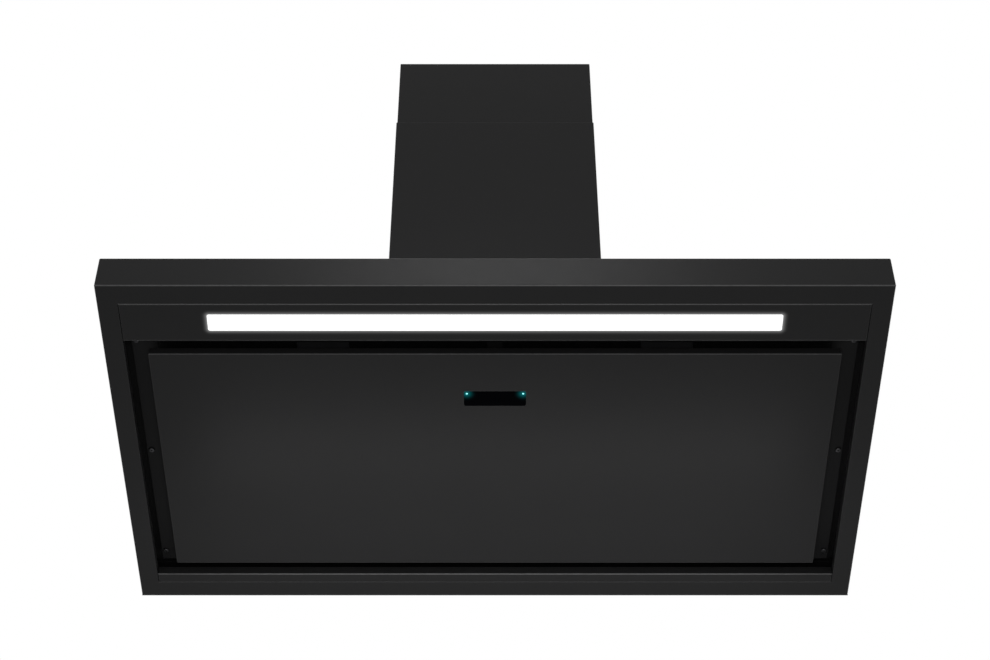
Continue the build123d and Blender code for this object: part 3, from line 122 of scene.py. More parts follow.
class Tree(Nodes):
    """A new material's nodes, with its shader and its Object coordinates."""

    def __init__(self, name: str) -> None:
        """Start a material under a name."""
        self.material = bpy.data.materials.new(name)
        self.material.use_nodes = True
        super().__init__(self.material.node_tree)
        self.shader = self.tree.nodes["Principled BSDF"]
        self.place = self.tree.nodes.new("ShaderNodeTexCoord").outputs["Object"]

    def stretched(self, scale: Point) -> Socket:
        """Object coordinates, scaled apart on each axis."""
        return self.add("Mapping", {"Vector": self.place, "Scale": scale}).outputs[0]

    def noise(self, size: float, detail: float = 2.0, place: Socket | None = None) -> Socket:
        """Noise from 0 to 1 with features of one size, on the piece's coordinates or others."""
        inputs = {"Vector": place or self.place, "Scale": 1.0 / size, "Detail": detail}
        return self.add("TexNoise", inputs).outputs["Fac"]

    def cells(self, size: float, output: str = "Color") -> Socket:
        """Voronoi cells of one size across, as their colour or their distance."""
        node = self.add("TexVoronoi", {"Vector": self.place, "Scale": 1.0 / size})
        return node.outputs[output]

    def blend(self, amount: Input, low: Input, high: Input) -> Socket:
        """Mix two colours, with an amount from 0 to 1 of the second one."""
        return self.add("Mix", {0: amount, 6: low, 7: high}, data_type="RGBA").outputs[2]

    def distance(self, a: Socket, b: Socket) -> Socket:
        """The length of a flat vector with two parts."""
        return self.maths("SQRT", self.maths("ADD", self.maths("POWER", a, 2.0),
                                             self.maths("POWER", b, 2.0)))

    def past(self, outline: "Outline") -> Socket:
        """How far a point lies past an outline's inner rectangle, which ends a corner radius in."""
        inputs = {0: self.place, 1: outline.middle}
        moved = self.add("VectorMath", inputs, operation="SUBTRACT").outputs[0]
        axes = self.add("SeparateXYZ", {0: moved})
        over = []
        for index in (0, 1):
            away = self.maths("ABSOLUTE", axes.outputs[index])
            inner = outline.half[index] - outline.corner
            over.append(self.maths("MAXIMUM", self.maths("SUBTRACT", away, inner), 0.0))
        return self.distance(*over)

    def from_pair(self, middle: Pair) -> Socket:
        """How far a point lies, across Z, from the nearer of two mirrored middles."""
        axes = self.add("SeparateXYZ", {0: self.place})
        across = self.maths("SUBTRACT", self.maths("ABSOLUTE", axes.outputs[0]), middle[0])
        along = self.maths("SUBTRACT", axes.outputs[1], middle[1])
        return self.distance(across, along)

    def glow(self, away: Socket, reach: Pair, strength: float) -> Socket:
        """The strength of a glow that fades from the near to the far end of its reach."""
        near = self.span(away, reach, (1.0, 0.0))
        return self.maths("MULTIPLY", self.maths("POWER", near, GLOW_FALL), strength)

    def rounded(self, radius: float) -> Socket:
        """The normal that the surface has where its edges are rounded by a radius."""
        return self.add("Bevel", {"Radius": radius}, samples=BEVEL_SAMPLES).outputs[0]

    def folds(self, radius: float, crossways: float) -> Socket:
        """From 0 on flat sheet to 1 on a fold along X, and crossways times that on the others."""
        own = self.add("VectorTransform", {0: self.rounded(radius)}, vector_type="NORMAL",
                       convert_from="WORLD", convert_to="OBJECT").outputs[0]
        axes = self.add("SeparateXYZ", {0: own})
        across, along, up = [self.maths("ABSOLUTE", axes.outputs[index]) for index in range(3)]
        other = self.maths("MULTIPLY", across, self.maths("ADD", along, up))
        turn = self.maths("ADD", self.maths("MULTIPLY", along, up),
                          self.maths("MULTIPLY", other, crossways))
        return self.span(turn, FOLD_TURN, UNIT)

    def edges(self, radius: float) -> Socket:
        """From 0 to 1, how near the surface is to an edge that looks rounded by a radius."""
        plain = self.tree.nodes.new("ShaderNodeNewGeometry").outputs["Normal"]
        inputs = {0: self.rounded(radius), 1: plain}
        along = self.add("VectorMath", inputs, operation="DOT_PRODUCT").outputs["Value"]
        return self.span(along, EDGE_TURN, UNIT)

    def relief(self, height: Input, distance: float, strength: float,
               round_by: float = 0.0) -> None:
        """Give the surface a bump of some metres, and edges that look rounded by a radius."""
        inputs = {"Height": height, "Distance": distance, "Strength": strength}
        if round_by:
            inputs["Normal"] = self.rounded(round_by)
        self.plug(self.shader.inputs["Normal"], self.add("Bump", inputs).outputs[0])

    def tones(self, amount: Input, colour: Colour, gains: Pair) -> Socket:
        """A colour that a noise makes darker and lighter by two gains."""
        return self.blend(self.span(amount, MOST, UNIT), rgba(colour, gains[0]),
                          rgba(colour, gains[1]))

    def set(self, **values: Input) -> None:
        """Set the shader's inputs, with their names' spaces as underscores."""
        for key, value in values.items():
            self.plug(self.shader.inputs[key.replace("_", " ")], value)


def rgba(colour: Colour, gain: float = 1.0) -> tuple[float, float, float, float]:
    """A colour for a socket, made lighter or darker by a gain."""
    return (*(min(1.0, part * gain) for part in colour), 1.0)


@dataclass(frozen=True)
class Outline:
    """A rounded rectangle across Z: its half sizes, its middle and its corner radius."""

    half: Pair
    middle: Point
    corner: float


def about(middle: float, spread: float) -> Pair:
    """The range that reaches as far below a value as above it."""
    return middle - spread, middle + spread


# --- Finishes ---
class Look:
    """How a surface looks, as the nodes of one material."""

    def build(self, name: str) -> Material:
        """Make the material under a name."""
        tree = Tree(name)
        self.paint(tree)
        return tree.material

    def paint(self, tree: Tree) -> None:
        """Add the look's nodes to a new material."""
        raise NotImplementedError


@dataclass(frozen=True)
class PowderCoat(Look):
    """Matt powder coat on steel sheet: a fine leathery grain, a painted highlight and a glossier
    coat along the bends, and, round a lens, a painted glow.
    """

    colour: Colour
    roughness: float = 0.42
    gloss: float = 0.07
    grain: float = 0.55 * MM
    relief: float = 0.03 * MM
    edge: float = 1.3 * MM
    # painted highlight: how much lighter the colour is drawn on the bends
    bend_highlight_gain: float = 1.4
    edge_shine: float = 1.0
    crossways: float = 0.42
    lens: Outline | None = None
    spill: float = 0.22
    spill_reach: float = 9 * MM

    def paint(self, tree: Tree) -> None:
        """Add the look's nodes."""
        fine = tree.noise(self.grain, 3.0)
        tint = tree.tones(tree.noise(90 * MM), self.colour, (0.97, 1.03))
        speckles = tree.span(fine, (0.4, 0.75), (0.0, 0.5))
        speckled = tree.blend(speckles, tint, rgba(self.colour, 1.3))
        # painted highlight: the bends are drawn lighter, in patches, strongest on folds along X,
        # and carry a glossier coat layer
        bend_highlight_patches = tree.span(tree.noise(6 * MM, 3.0), (0.3, 0.6), (0.8, 1.0))
        bend_highlight = tree.maths("MULTIPLY", tree.folds(self.edge, self.crossways), bend_highlight_patches)
        rough = tree.span(tree.noise(14 * MM, 3.0), MOST, about(self.roughness, 0.015))
        tree.set(Base_Color=tree.blend(bend_highlight, speckled, rgba(self.colour, self.bend_highlight_gain)),
                 Roughness=rough, Specular_IOR_Level=self.gloss, Coat_Roughness=self.roughness,
                 Coat_Weight=tree.maths("MULTIPLY", bend_highlight, self.edge_shine))
        tree.relief(fine, self.relief, 0.6, self.edge)
        # painted glow: round the lens the coat gives off white light that fades outwards, standing
        # in for the lens's light spilling onto it
        if self.lens:
            reach = (self.lens.corner, self.lens.corner + self.spill_reach)
            tree.set(Emission_Color=WHITE,
                     Emission_Strength=tree.glow(tree.past(self.lens), reach, self.spill))


@dataclass(frozen=True)
class ZincSheet(Look):
    """Galvanised sheet with its spangle and faint rolling lines."""

    colour: Colour
    spangle: float = 9 * MM
    roughness: float = 0.42

    def paint(self, tree: Tree) -> None:
        """Add the look's nodes."""
        flakes = tree.add("SeparateColor", {0: tree.cells(self.spangle)}).outputs[0]
        rolled = tree.noise(1.2 * MM, place=tree.stretched((1.0, 1.0, 0.03)))
        shade = tree.blend(flakes, rgba(self.colour, 0.8), rgba(self.colour, 1.12))
        dust = tree.span(tree.noise(60 * MM, 4.0), (0.45, 0.75), (0.0, 0.35))
        rough = tree.maths("ADD", tree.span(flakes, UNIT, about(self.roughness, 0.1)),
                           tree.span(rolled, MOST, about(0.0, 0.03)))
        tree.set(Base_Color=tree.blend(dust, shade, rgba(self.colour, 0.62)), Roughness=rough,
                 Metallic=0.9)
        tree.relief(rolled, 0.02 * MM, 0.4)


@dataclass(frozen=True)
class BareMetal(Look):
    """Plated, rolled or cast metal: lines along one axis, or none, and a few darker stains."""

    colour: Colour
    roughness: float = 0.3
    lines: Point = (1.0, 1.0, 1.0)
    line_size: float = 0.6 * MM
    stain: float = 0.7
    relief: float = 0.02 * MM

    def paint(self, tree: Tree) -> None:
        """Add the look's nodes."""
        brushed = tree.noise(self.line_size, 3.0, tree.stretched(self.lines))
        stains = tree.span(tree.noise(12 * MM, 4.0), (0.45, 0.8), (0.0, 0.8))
        body = tree.tones(brushed, self.colour, (0.88, 1.08))
        aged = tree.blend(stains, body, rgba(self.colour, self.stain))
        colour = tree.blend(tree.edges(0.5 * MM), aged, rgba(self.colour, 1.2))
        rough = tree.span(brushed, (0.25, 0.75), (self.roughness - 0.08, self.roughness + 0.1))
        tree.set(Base_Color=colour, Roughness=rough, Metallic=0.95)
        tree.relief(brushed, self.relief, 0.5)


@dataclass(frozen=True)
class Laminations(Look):
    """Stacked motor laminations: thin dark gaps between lacquered steel sheets."""

    colour: Colour
    rust: Colour = (0.16, 0.07, 0.03)
    pitch: float = 0.6 * MM

    def paint(self, tree: Tree) -> None:
        """Add the look's nodes."""
        waves = {"Vector": tree.place, "Scale": 1.0 / (self.pitch * 20.0), "Distortion": 0.2}
        stack = tree.add("TexWave", waves, bands_direction="X").outputs["Fac"]
        rust = tree.span(tree.noise(9 * MM, 4.0), (0.5, 0.8), (0.0, 0.6))
        sheet = tree.blend(tree.span(stack, (0.1, 0.5), UNIT), rgba(self.colour, 0.4),
                           rgba(self.colour))
        tree.set(Base_Color=tree.blend(rust, sheet, rgba(self.rust)), Metallic=0.7,
                 Roughness=tree.span(stack, UNIT, (0.6, 0.36)))
        tree.relief(stack, 0.15 * MM, 0.7)


@dataclass(frozen=True)
class Moulding(Look):
    """Moulded plastic or rubber: spark-eroded grain and slightly shinier edges."""

    colour: Colour
    roughness: float = 0.5
    gloss: float = 0.4
    grain: float = 0.7 * MM
    relief: float = 0.04 * MM

    def paint(self, tree: Tree) -> None:
        """Add the look's nodes."""
        grain = tree.noise(self.grain)
        edge = tree.edges(0.6 * MM)
        body = tree.tones(tree.noise(25 * MM, 3.0), self.colour, (0.92, 1.08))
        rough = tree.maths("SUBTRACT", tree.span(grain, MOST, about(self.roughness, 0.04)),
                           tree.maths("MULTIPLY", edge, 0.08))
        tree.set(Base_Color=tree.blend(edge, body, rgba(self.colour, 1.35)), Roughness=rough,
                 Specular_IOR_Level=self.gloss)
        tree.relief(grain, self.relief, 0.6)


@dataclass(frozen=True)
class CircuitBoard(Look):
    """Solder mask with faint copper tracks under it and small tinned pads."""

    mask: Colour
    track: Colour
    pad: Colour = (0.62, 0.62, 0.6)

    def paint(self, tree: Tree) -> None:
        """Add the look's nodes."""
        bricks = {"Vector": tree.place, "Scale": 180.0, "Mortar Size": 0.06,
                  "Brick Width": 1.3, "Row Height": 0.7}
        tracks = tree.add("TexBrick", bricks).outputs["Fac"]
        dots = tree.span(tree.cells(3.4 * MM, "Distance"), (0.16, 0.2), (1.0, 0.0))
        mask = tree.blend(tracks, rgba(self.mask), rgba(self.track))
        tree.set(Base_Color=tree.blend(dots, mask, rgba(self.pad)), Metallic=dots,
                 Roughness=tree.span(tracks, UNIT, (0.34, 0.26)))
        tree.relief(tree.maths("ADD", tracks, dots), 0.03 * MM, 0.5)


@dataclass(frozen=True)
class DarkGlass(Look):
    """Near-black tinted glass, barely smeared, that glows round the lamps behind it."""

    colour: Colour
    lamps: Pair
    halo: Colour = (0.01, 0.8, 0.85)
    halo_reach: float = 14 * MM
    halo_glow: float = 0.25
    gloss: float = 0.006

    def paint(self, tree: Tree) -> None:
        """Add the look's nodes."""
        smear = tree.noise(11 * MM, 3.0, tree.stretched((0.4, 1.0, 1.0)))
        rough = tree.span(smear, (0.35, 0.7), (0.05, 0.12))
        colour = tree.blend(tree.span(smear, (0.4, 0.8), (0.0, 0.4)), rgba(self.colour),
                            rgba(self.colour, 1.6))
        halo = tree.glow(tree.from_pair(self.lamps), (0.0, self.halo_reach), self.halo_glow)
        tree.set(Base_Color=colour, Roughness=rough, Specular_IOR_Level=self.gloss,
                 Emission_Color=rgba(self.halo), Emission_Strength=halo)
        tree.relief(smear, 0.01 * MM, 0.2)


@dataclass(frozen=True)
class LitLens(Look):
    """Opal lens lit from behind: even in the middle, a little dimmer along its border."""

    colour: Colour
    lens: Outline
    border: float
    glow: float
    rim_glow: float

    def paint(self, tree: Tree) -> None:
        """Add the look's nodes."""
        ends = (self.lens.corner - self.border, self.lens.corner)
        glow = tree.span(tree.past(self.lens), ends, (self.glow, self.rim_glow))
        cloud = tree.span(tree.noise(18 * MM, 1.0), (0.2, 0.8), (0.985, 1.0))
        grain = tree.noise(0.8 * MM)
        tree.set(Base_Color=rgba(self.colour), Roughness=tree.span(grain, MOST, (0.42, 0.5)),
                 Emission_Color=rgba(self.colour),
                 Emission_Strength=tree.maths("MULTIPLY", glow, cloud))
        tree.relief(grain, 0.02 * MM, 0.3)


@dataclass(frozen=True)
class LampTip(Look):
    """End of a light guide: a pale hot middle in a coloured ring."""

    colour: Colour
    hot: Colour
    middles: Pair
    radius: float
    glow: float

    def paint(self, tree: Tree) -> None:
        """Add the look's nodes."""
        ring = (self.radius * 0.75, self.radius * 1.3)
        heat = tree.span(tree.from_pair(self.middles), ring, (1.0, 0.0))
        tree.set(Base_Color=rgba(self.colour), Roughness=0.25, Emission_Strength=self.glow,
                 Emission_Color=tree.blend(heat, rgba(self.colour), rgba(self.hot)))


def corner_mid(low: Vector, high: Vector) -> Vector:
    """The middle of a box."""
    return (low + high) / 2


def lens_outline() -> Outline:
    """The lens's visible outline, inside the ledge that holds it."""
    low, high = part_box("light_diffuser")
    ledge, corner = 4 * MM, 2.8 * MM
    half = ((high.x - low.x) / 2 - ledge, (high.y - low.y) / 2 - ledge)
    return Outline(half, tuple(corner_mid(low, high)), corner)


def lamp_places() -> tuple[Pair, float]:
    """The right status lamp's middle, and the lamps' radius."""
    low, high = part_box("status_lamps")
    radius = (high.y - low.y) / 2
    return (high.x - radius, corner_mid(low, high).y), radius


COAT: Colour = (0.0112, 0.0112, 0.0114)


class Finish(Enum):
    """The finishes, under the record's material slots, and four that only the scene has."""

    def __new__(cls, slot: str, look: Look) -> "Finish":
        """Keep the slot's name as the value, with the look beside it."""
        member = object.__new__(cls)
        member._value_ = slot
        member.look = look
        return member

    BLACK_COAT = "black_coat", PowderCoat(COAT)
    # The inside parts' coat: a darker, duller copy of the black coat, partly their own black paint
    # and partly painted shade of the hood's inside.
    INNER_BLACK = "inner_black", PowderCoat((0.009, 0.009, 0.0092), 0.55, 0.05, edge_shine=0.1)
    GALVANISED = "galvanised", ZincSheet((0.56, 0.57, 0.58))
    OPAL_LENS = "opal_lens", LitLens((1.0, 1.0, 1.0), lens_outline(), 2.4 * MM, 1.5, 0.1)
    CHANNEL = "channel_aluminium", BareMetal((0.72, 0.72, 0.73), 0.32, (0.03, 1.0, 1.0))
    BOARD = "circuit_board", CircuitBoard((0.02, 0.14, 0.05), (0.03, 0.2, 0.08))
    WHITE_CASE = "white_case", Moulding((0.78, 0.78, 0.76), 0.42)
    MOULDED = "moulded_black", Moulding((0.016, 0.016, 0.017), 0.5, 0.15)
    ZINC = "zinc_steel", BareMetal((0.6, 0.6, 0.58), 0.28)
    BLACK_SCREW = "black_screw", BareMetal((0.045, 0.045, 0.047), 0.42)
    MAGNET = "magnet", BareMetal((0.1, 0.1, 0.105), 0.55, relief=0.05 * MM)
    GLASS = "black_glass", DarkGlass((0.0005, 0.0006, 0.001), lamp_places()[0])
    LAMP = "status_lamp", LampTip((0.06, 0.62, 0.64), (0.43, 0.9, 0.9), *lamp_places(), 1.0)
    FILTER_FRAME = "filter_black", BareMetal((0.024, 0.024, 0.025), 0.5, (1.0, 0.05, 1.0))
    FILTER_MESH = "filter_mesh", BareMetal((0.07, 0.07, 0.072), 0.4)
    IMPELLER = "impeller_plastic", Moulding((0.05, 0.05, 0.054), 0.52)
    STATOR = "stator_steel", Laminations((0.3, 0.3, 0.32))
    SHIELD = "cast_shield", BareMetal((0.5, 0.5, 0.51), 0.46, relief=0.08 * MM)
    RUBBER = "bush_rubber", Moulding((0.018, 0.018, 0.018), 0.75, 0.2)
    SCROLL = "scroll_plastic", Moulding((0.08, 0.08, 0.084), 0.46)
    PHOSPHOR = "phosphor", Moulding((0.85, 0.72, 0.12), 0.35)
    # Copies of the black coat: one with a painted glow round the lens, two with narrower painted
    # bend highlights and less coat gloss on the bends.
    LIT_COAT = "black_coat_by_lens", PowderCoat(COAT, lens=lens_outline())
    PANEL_COAT = "black_coat_panel", PowderCoat(COAT, edge=0.9 * MM, edge_shine=0.45)
    CHIMNEY_COAT = "black_coat_chimney", PowderCoat(COAT, edge=0.9 * MM, edge_shine=0.1)


# --- Modelling bench ---
def done() -> None:
    """Leave edit mode."""
    if bpy.context.object and bpy.context.object.mode != "OBJECT":
        bpy.ops.object.mode_set(mode="OBJECT")


def clear() -> None:
    """Leave edit mode and deselect everything."""
    done()
    bpy.ops.object.select_all(action="DESELECT")


def hold(piece: Piece) -> None:
    """Make one piece the only selected and the active one."""
    clear()
    piece.select_set(True)
    bpy.context.view_layer.objects.active = piece


def cylinder(radius: float, depth: float, base: Point, sides: int = 32) -> Piece:
    """Add an upright cylinder that stands on a point."""
    clear()
    bpy.ops.mesh.primitive_cylinder_add(vertices=sides, radius=radius, depth=depth,
                                        location=(*base[:2], base[2] + depth / 2))
    return settle(bpy.context.object)


def block(low: Point, high: Point) -> Piece:
    """Add a box between two corners."""
    clear()
    middle = [(a + b) / 2 for a, b in zip(low, high)]
    size = [b - a for a, b in zip(low, high)]
    bpy.ops.mesh.primitive_cube_add(size=1.0, location=middle, scale=size)
    return settle(bpy.context.object)


def settle(piece: Piece) -> Piece:
    """Put a piece's place, turn and size into its mesh."""
    hold(piece)
    bpy.ops.object.transform_apply(location=True, rotation=True, scale=True)
    return piece


def pick(piece: Piece, test: Test, edges: bool = False) -> int:
    """Enter edit mode with only some faces or edges selected.

    Args:
        piece: The piece to edit.
        test: Says yes to a face's middle and normal, or to an edge's middle and direction.
        edges: Whether edges are tested in place of faces.

    Returns:
        How many were selected.
    """
    hold(piece)
    bpy.ops.object.mode_set(mode="EDIT")
    bpy.ops.mesh.select_mode(type="EDGE" if edges else "FACE")
    bpy.ops.mesh.select_all(action="DESELECT")
    done()
    mesh = piece.data
    parts = mesh.edges if edges else mesh.polygons
    for part in parts:
        if edges:
            a, b = (mesh.vertices[index].co for index in part.vertices)
            part.select = test((a + b) / 2, (b - a).normalized())
        else:
            part.select = test(part.center, part.normal)
    count = sum(part.select for part in parts)
    bpy.ops.object.mode_set(mode="EDIT")
    return count


def accent() -> None:
    """Give the selected faces the piece's second material, and leave edit mode."""
    bpy.context.object.active_material_index = 1
    bpy.ops.object.material_slot_assign()
    done()


def grow(step: Point, scale: float = 1.0) -> None:
    """Extrude the selected faces by a step, and scale the new end across Z."""
    bpy.ops.mesh.extrude_region_move(TRANSFORM_OT_translate={"value": step})
    if scale != 1.0:
        bpy.ops.transform.resize(value=(scale, scale, 1.0))


def thread_turn(half_pitch: float, narrow: float) -> None:
    """Extrude one turn of a thread downwards: in to its root and out to its crest."""
    grow((0, 0, -half_pitch), narrow)
    grow((0, 0, -half_pitch), 1 / narrow)


def round_edges(piece: Piece, width: float, test: Test, segments: int = 2) -> None:
    """Bevel the edges that a test picks, each with a number of faces."""
    if pick(piece, test, edges=True):
        bpy.ops.mesh.bevel(offset=width, segments=segments, affect="EDGES")
    done()


def apply(piece: Piece, kind: str, **settings: object) -> None:
    """Add a modifier with its settings and apply it."""
    hold(piece)
    modifier = piece.modifiers.new(kind.title(), kind)
    for key, value in settings.items():
        setattr(modifier, key, value)
    bpy.ops.object.modifier_apply(modifier=modifier.name)


def cut(piece: Piece, cutter: Piece) -> None:
    """Cut one piece out of another, and delete the cutter."""
    apply(piece, "BOOLEAN", operation="DIFFERENCE", solver="EXACT", object=cutter)
    bpy.data.objects.remove(cutter)


def copies(piece: Piece, places: Iterable[Matrix]) -> Piece:
    """Move copies of a piece to some places, join them, and delete the piece itself."""
    made = []
    for place in places:
        twin = piece.copy()
        twin.data = piece.data.copy()
        bpy.context.collection.objects.link(twin)
        twin.matrix_world = place
        made.append(settle(twin))
    bpy.data.objects.remove(piece)
    return join(made)


def join(parts: Sequence[Piece]) -> Piece:
    """Join some pieces into the first of them."""
    hold(parts[0])
    for part in parts[1:]:
        part.select_set(True)
    if len(parts) > 1:
        bpy.ops.object.join()
    return parts[0]


def smooth(piece: Piece) -> Piece:
    """Turn the normals outwards and shade smooth below an angle."""
    hold(piece)
    bpy.ops.object.mode_set(mode="EDIT")
    bpy.ops.mesh.select_all(action="SELECT")
    bpy.ops.mesh.remove_doubles(threshold=1e-6)
    bpy.ops.mesh.normals_make_consistent(inside=False)
    done()
    bpy.ops.object.shade_smooth_by_angle(angle=math.radians(SMOOTH_BELOW))
    return piece


class Workshop:
    """Keeps the finishes, and sets finished pieces on their bodies."""

    def __init__(self) -> None:
        """Start with no material made."""
        self.made: dict[Finish, Material] = {}

    def material(self, finish: Finish) -> Material:
        """A finish's material, made on its first use."""
        if finish not in self.made:
            self.made[finish] = finish.look.build(finish.value)
        return self.made[finish]

    def paint(self, piece: Piece, *finishes: Finish) -> None:
        """Give a whole piece the first of some finishes, with the others at hand for its faces."""
        piece.data.materials.clear()
        for finish in finishes:
            piece.data.materials.append(self.material(finish))

    def dress(self, finish: Finish, names: str) -> None:
        """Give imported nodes, by their names with spaces between, a finish."""
        for name in names.split():
            self.paint(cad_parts[name], finish)
            LOG.info("dressed %s in %s", name, finish.value)

    def deliver(self, piece: Piece, name: str, body: str, finish: Finish,
                stands_for: Sequence[str] = ()) -> None:
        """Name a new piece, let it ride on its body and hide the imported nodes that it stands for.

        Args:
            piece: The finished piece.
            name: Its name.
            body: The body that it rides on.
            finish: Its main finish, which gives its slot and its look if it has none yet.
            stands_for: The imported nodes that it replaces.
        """
        if not piece.data.materials:
            self.paint(piece, finish)
        piece.name = piece.data.name = name
        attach(piece, body)
        if stands_for:
            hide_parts(*stands_for)
        LOG.info("made %s: %d faces, on %s", name, len(piece.data.polygons), body)


def clusters(node: str, reach: float) -> list[tuple[Vector, Vector]]:
    """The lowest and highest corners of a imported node's solids, each smaller than a reach."""
    boxes: list[tuple[Vector, Vector]] = []
    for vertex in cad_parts[node].data.vertices:
        point = vertex.co
        for low, high in boxes:
            if (corner_mid(low, high) - point).length < reach:
                for axis in range(3):
                    low[axis] = min(low[axis], point[axis])
                    high[axis] = max(high[axis], point[axis])
                break
        else:
            boxes.append((point.copy(), point.copy()))
    return boxes


def upright(at: Vector, way: Vector) -> bool:
    """Whether an edge runs along Z."""
    return abs(way.z) > ALONG


def level(at: Vector, way: Vector) -> bool:
    """Whether an edge runs, or a face looks, across Z."""
    return abs(way.z) < ACROSS


def downward(at: Vector, normal: Vector) -> bool:
    """Whether a face looks down."""
    return normal.z < -ALONG


# --- Fasteners ---
@dataclass
class CrossScrew:
    """Pan-head sheet-metal screw with a cross recess, modelled head up with its seat at Z = 0."""

    head_radius: float = 3.5 * MM
    head_height: float = 2.2 * MM
    shank_radius: float = 1.9 * MM
    root_radius: float = 1.45 * MM
    pitch: float = 1.3 * MM
    dome: float = 0.9 * MM
    thread_share: float = 0.75
    tip_share: float = 0.35
    recess: Pair = (2.1 * MM, 0.53125 * MM)
    recess_depth: float = 1.3 * MM
    recess_taper: float = 0.55
    reach: float = 14 * MM

    def model(self, length: float) -> Piece:
        """Model one screw, with a length from its seat to its tip."""
        screw = cylinder(self.head_radius, self.head_height, (0, 0, 0), 28)
        round_edges(screw, self.dome, lambda at, way: at.z > self.head_height * ALONG, 4)
        pick(screw, downward)
        bpy.ops.mesh.inset(thickness=self.head_radius - self.shank_radius)
        turns = int(length * self.thread_share / self.pitch)
        for _ in range(turns):
            thread_turn(self.pitch / 2, self.root_radius / self.shank_radius)
        grow((0, 0, turns * self.pitch - length), self.tip_share)
        done()
        floor, top = self.head_height - self.recess_depth, self.head_height * 1.5
        for x, y in (self.recess, self.recess[::-1]):
            slot = block((-x, -y, floor), (x, y, top))
            pick(slot, downward)
            bpy.ops.transform.resize(value=(self.recess_taper, self.recess_taper, 1.0))
            done()
            cut(screw, slot)
        return smooth(screw)

    def places(self, node: str, head: Vector) -> tuple[list[Matrix], float]:
        """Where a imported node's screws are.

        Args:
            node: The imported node.
            head: Which way the heads point; where it is zero, away from X = 0.

        Returns:
            A matrix for each screw, and the shanks' length.
        """
        matrices = []
        length = 0.0
        for low, high in clusters(node, self.reach):
            middle = corner_mid(low, high)
            way = head if head.length else Vector((math.copysign(1.0, middle.x), 0, 0))
            half = abs((high - low).dot(way)) / 2
            length = 2 * half - self.head_height
            turn = way.to_track_quat("Z", "Y").to_matrix().to_4x4()
            matrices.append(Matrix.Translation(middle + way * (half - self.head_height)) @ turn)
        return matrices, length

    def fit(self, shop: Workshop, node: str, head: Point, body: str, finish: Finish) -> None:
        """Put cross-head screws in the place of a node's plain ones, heads as in places()."""
        matrices, length = self.places(node, Vector(head))
        screws = copies(self.model(length), matrices)
        shop.deliver(screws, node + "_cross_head", body, finish, [node])


@dataclass
class PopRivet:
    """Domed blind rivet, modelled head up with its seat at Z = 0."""

    radius: float = 2.6 * MM
    height: float = 0.9 * MM
    dome: float = 0.7 * MM
    bore: float = 0.9 * MM
    sink: float = 0.5 * MM
    sink_taper: float = 0.85

    def model(self) -> Piece:
        """Model one rivet head with the stub of its mandrel sunk in the middle."""
        head = cylinder(self.radius, self.height, (0, 0, 0), 24)
        round_edges(head, self.dome, lambda at, way: at.z > self.height * ALONG, 4)
        pick(head, lambda at, normal: normal.z > FLAT)
        bpy.ops.mesh.inset(thickness=self.radius - self.dome - self.bore)
        grow((0, 0, -self.sink), self.sink_taper)
        done()
        return smooth(head)


@dataclass
class CableGland:
    """Cable gland: a hexagon and a ribbed dome nut on a lid, a thread and a locknut under it."""

    bore: float = 3.6 * MM
    hexagon: float = 9 * MM
    hexagon_height: float = 8 * MM
    thread: float = 5.85 * MM
    thread_above: float = 0.5 * MM
    turns: int = 7
    half_pitch: float = 0.6 * MM
    narrow: float = 0.93
    dome: float = 7.5 * MM
    dome_round: float = 1.4 * MM
    ribs: int = 24
    rib_inset: float = 0.25 * MM
    rib_depth: float = 0.5 * MM
    locknut: float = 4 * MM
    locknut_drop: float = 5 * MM
    corner: float = 0.5 * MM
    chamfer: float = 0.6 * MM
    drill: float = 60 * MM

    def model(self, seat: Point, top: float) -> Piece:
        """Model the gland.

        Args:
            seat: Its axis at the lid's top face.
            top: Where its dome nut ends on Z.

        Returns:
            The gland, bored through.
        """
        x, y, z = seat
        body = cylinder(self.hexagon, self.hexagon_height, seat, 6)
        round_edges(body, self.corner, upright)
        round_edges(body, self.chamfer, level)
        thread = cylinder(self.thread, 2 * self.thread_above, (x, y, z - self.thread_above))
        pick(thread, downward)
        for _ in range(self.turns):
            thread_turn(self.half_pitch, self.narrow)
        done()
        foot = z + self.hexagon_height
        nut = cylinder(self.dome, top - foot, (x, y, foot), self.ribs)
        pick(nut, self.between_ribs)
        bpy.ops.mesh.inset(thickness=self.rib_inset, use_individual=True)
        sunk = {"value": -self.rib_depth}
        bpy.ops.mesh.extrude_region_shrink_fatten(TRANSFORM_OT_shrink_fatten=sunk)
        done()
        round_edges(nut, self.dome_round, lambda at, way: at.z > top - 0.1 * MM, 4)
        lock = cylinder(self.hexagon, self.locknut, (x, y, z - self.locknut_drop), 6)
        round_edges(lock, self.chamfer, level)
        for part in (body, thread, nut, lock):
            cut(part, cylinder(self.bore, self.drill, (x, y, z - self.drill / 2)))
            smooth(part)
        return join([body, thread, nut, lock])

    def between_ribs(self, at: Vector, normal: Vector) -> bool:
        """Whether a face of the dome nut is every second one round it."""
        turn = math.atan2(normal.y, normal.x) + math.pi
        return level(at, normal) and int(turn / math.radians(360 / self.ribs)) % 2 == 0


# --- Sub-assemblies ---
@dataclass
class SubAssembly:
    """A group of pieces that are dressed and modelled together."""

    shop: Workshop
    body: str = "hood"
    coats: ClassVar[dict[Finish, str]] = {}

    def make(self) -> None:
        """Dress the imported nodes, then model the new pieces."""
        for finish, names in self.coats.items():
            self.shop.dress(finish, names)
        self.model()

    def model(self) -> None:
        """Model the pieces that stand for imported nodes, where there are any."""


@dataclass
class Canopy(SubAssembly):
    """The flat box over the hob: its folded shell, back plate, rear rail and inner electrics."""

    coats = {
        Finish.BLACK_COAT: "canopy_shell rear_rail",
        # painted shade: the wall plate gets the dark inner coat rather than galvanised sheet, so
        # that it shows as shade behind the panel
        Finish.INNER_BLACK: "wall_plate",
        Finish.MOULDED: "control_box control_lid",
        Finish.BOARD: "control_board",
        Finish.WHITE_CASE: "led_driver",
    }


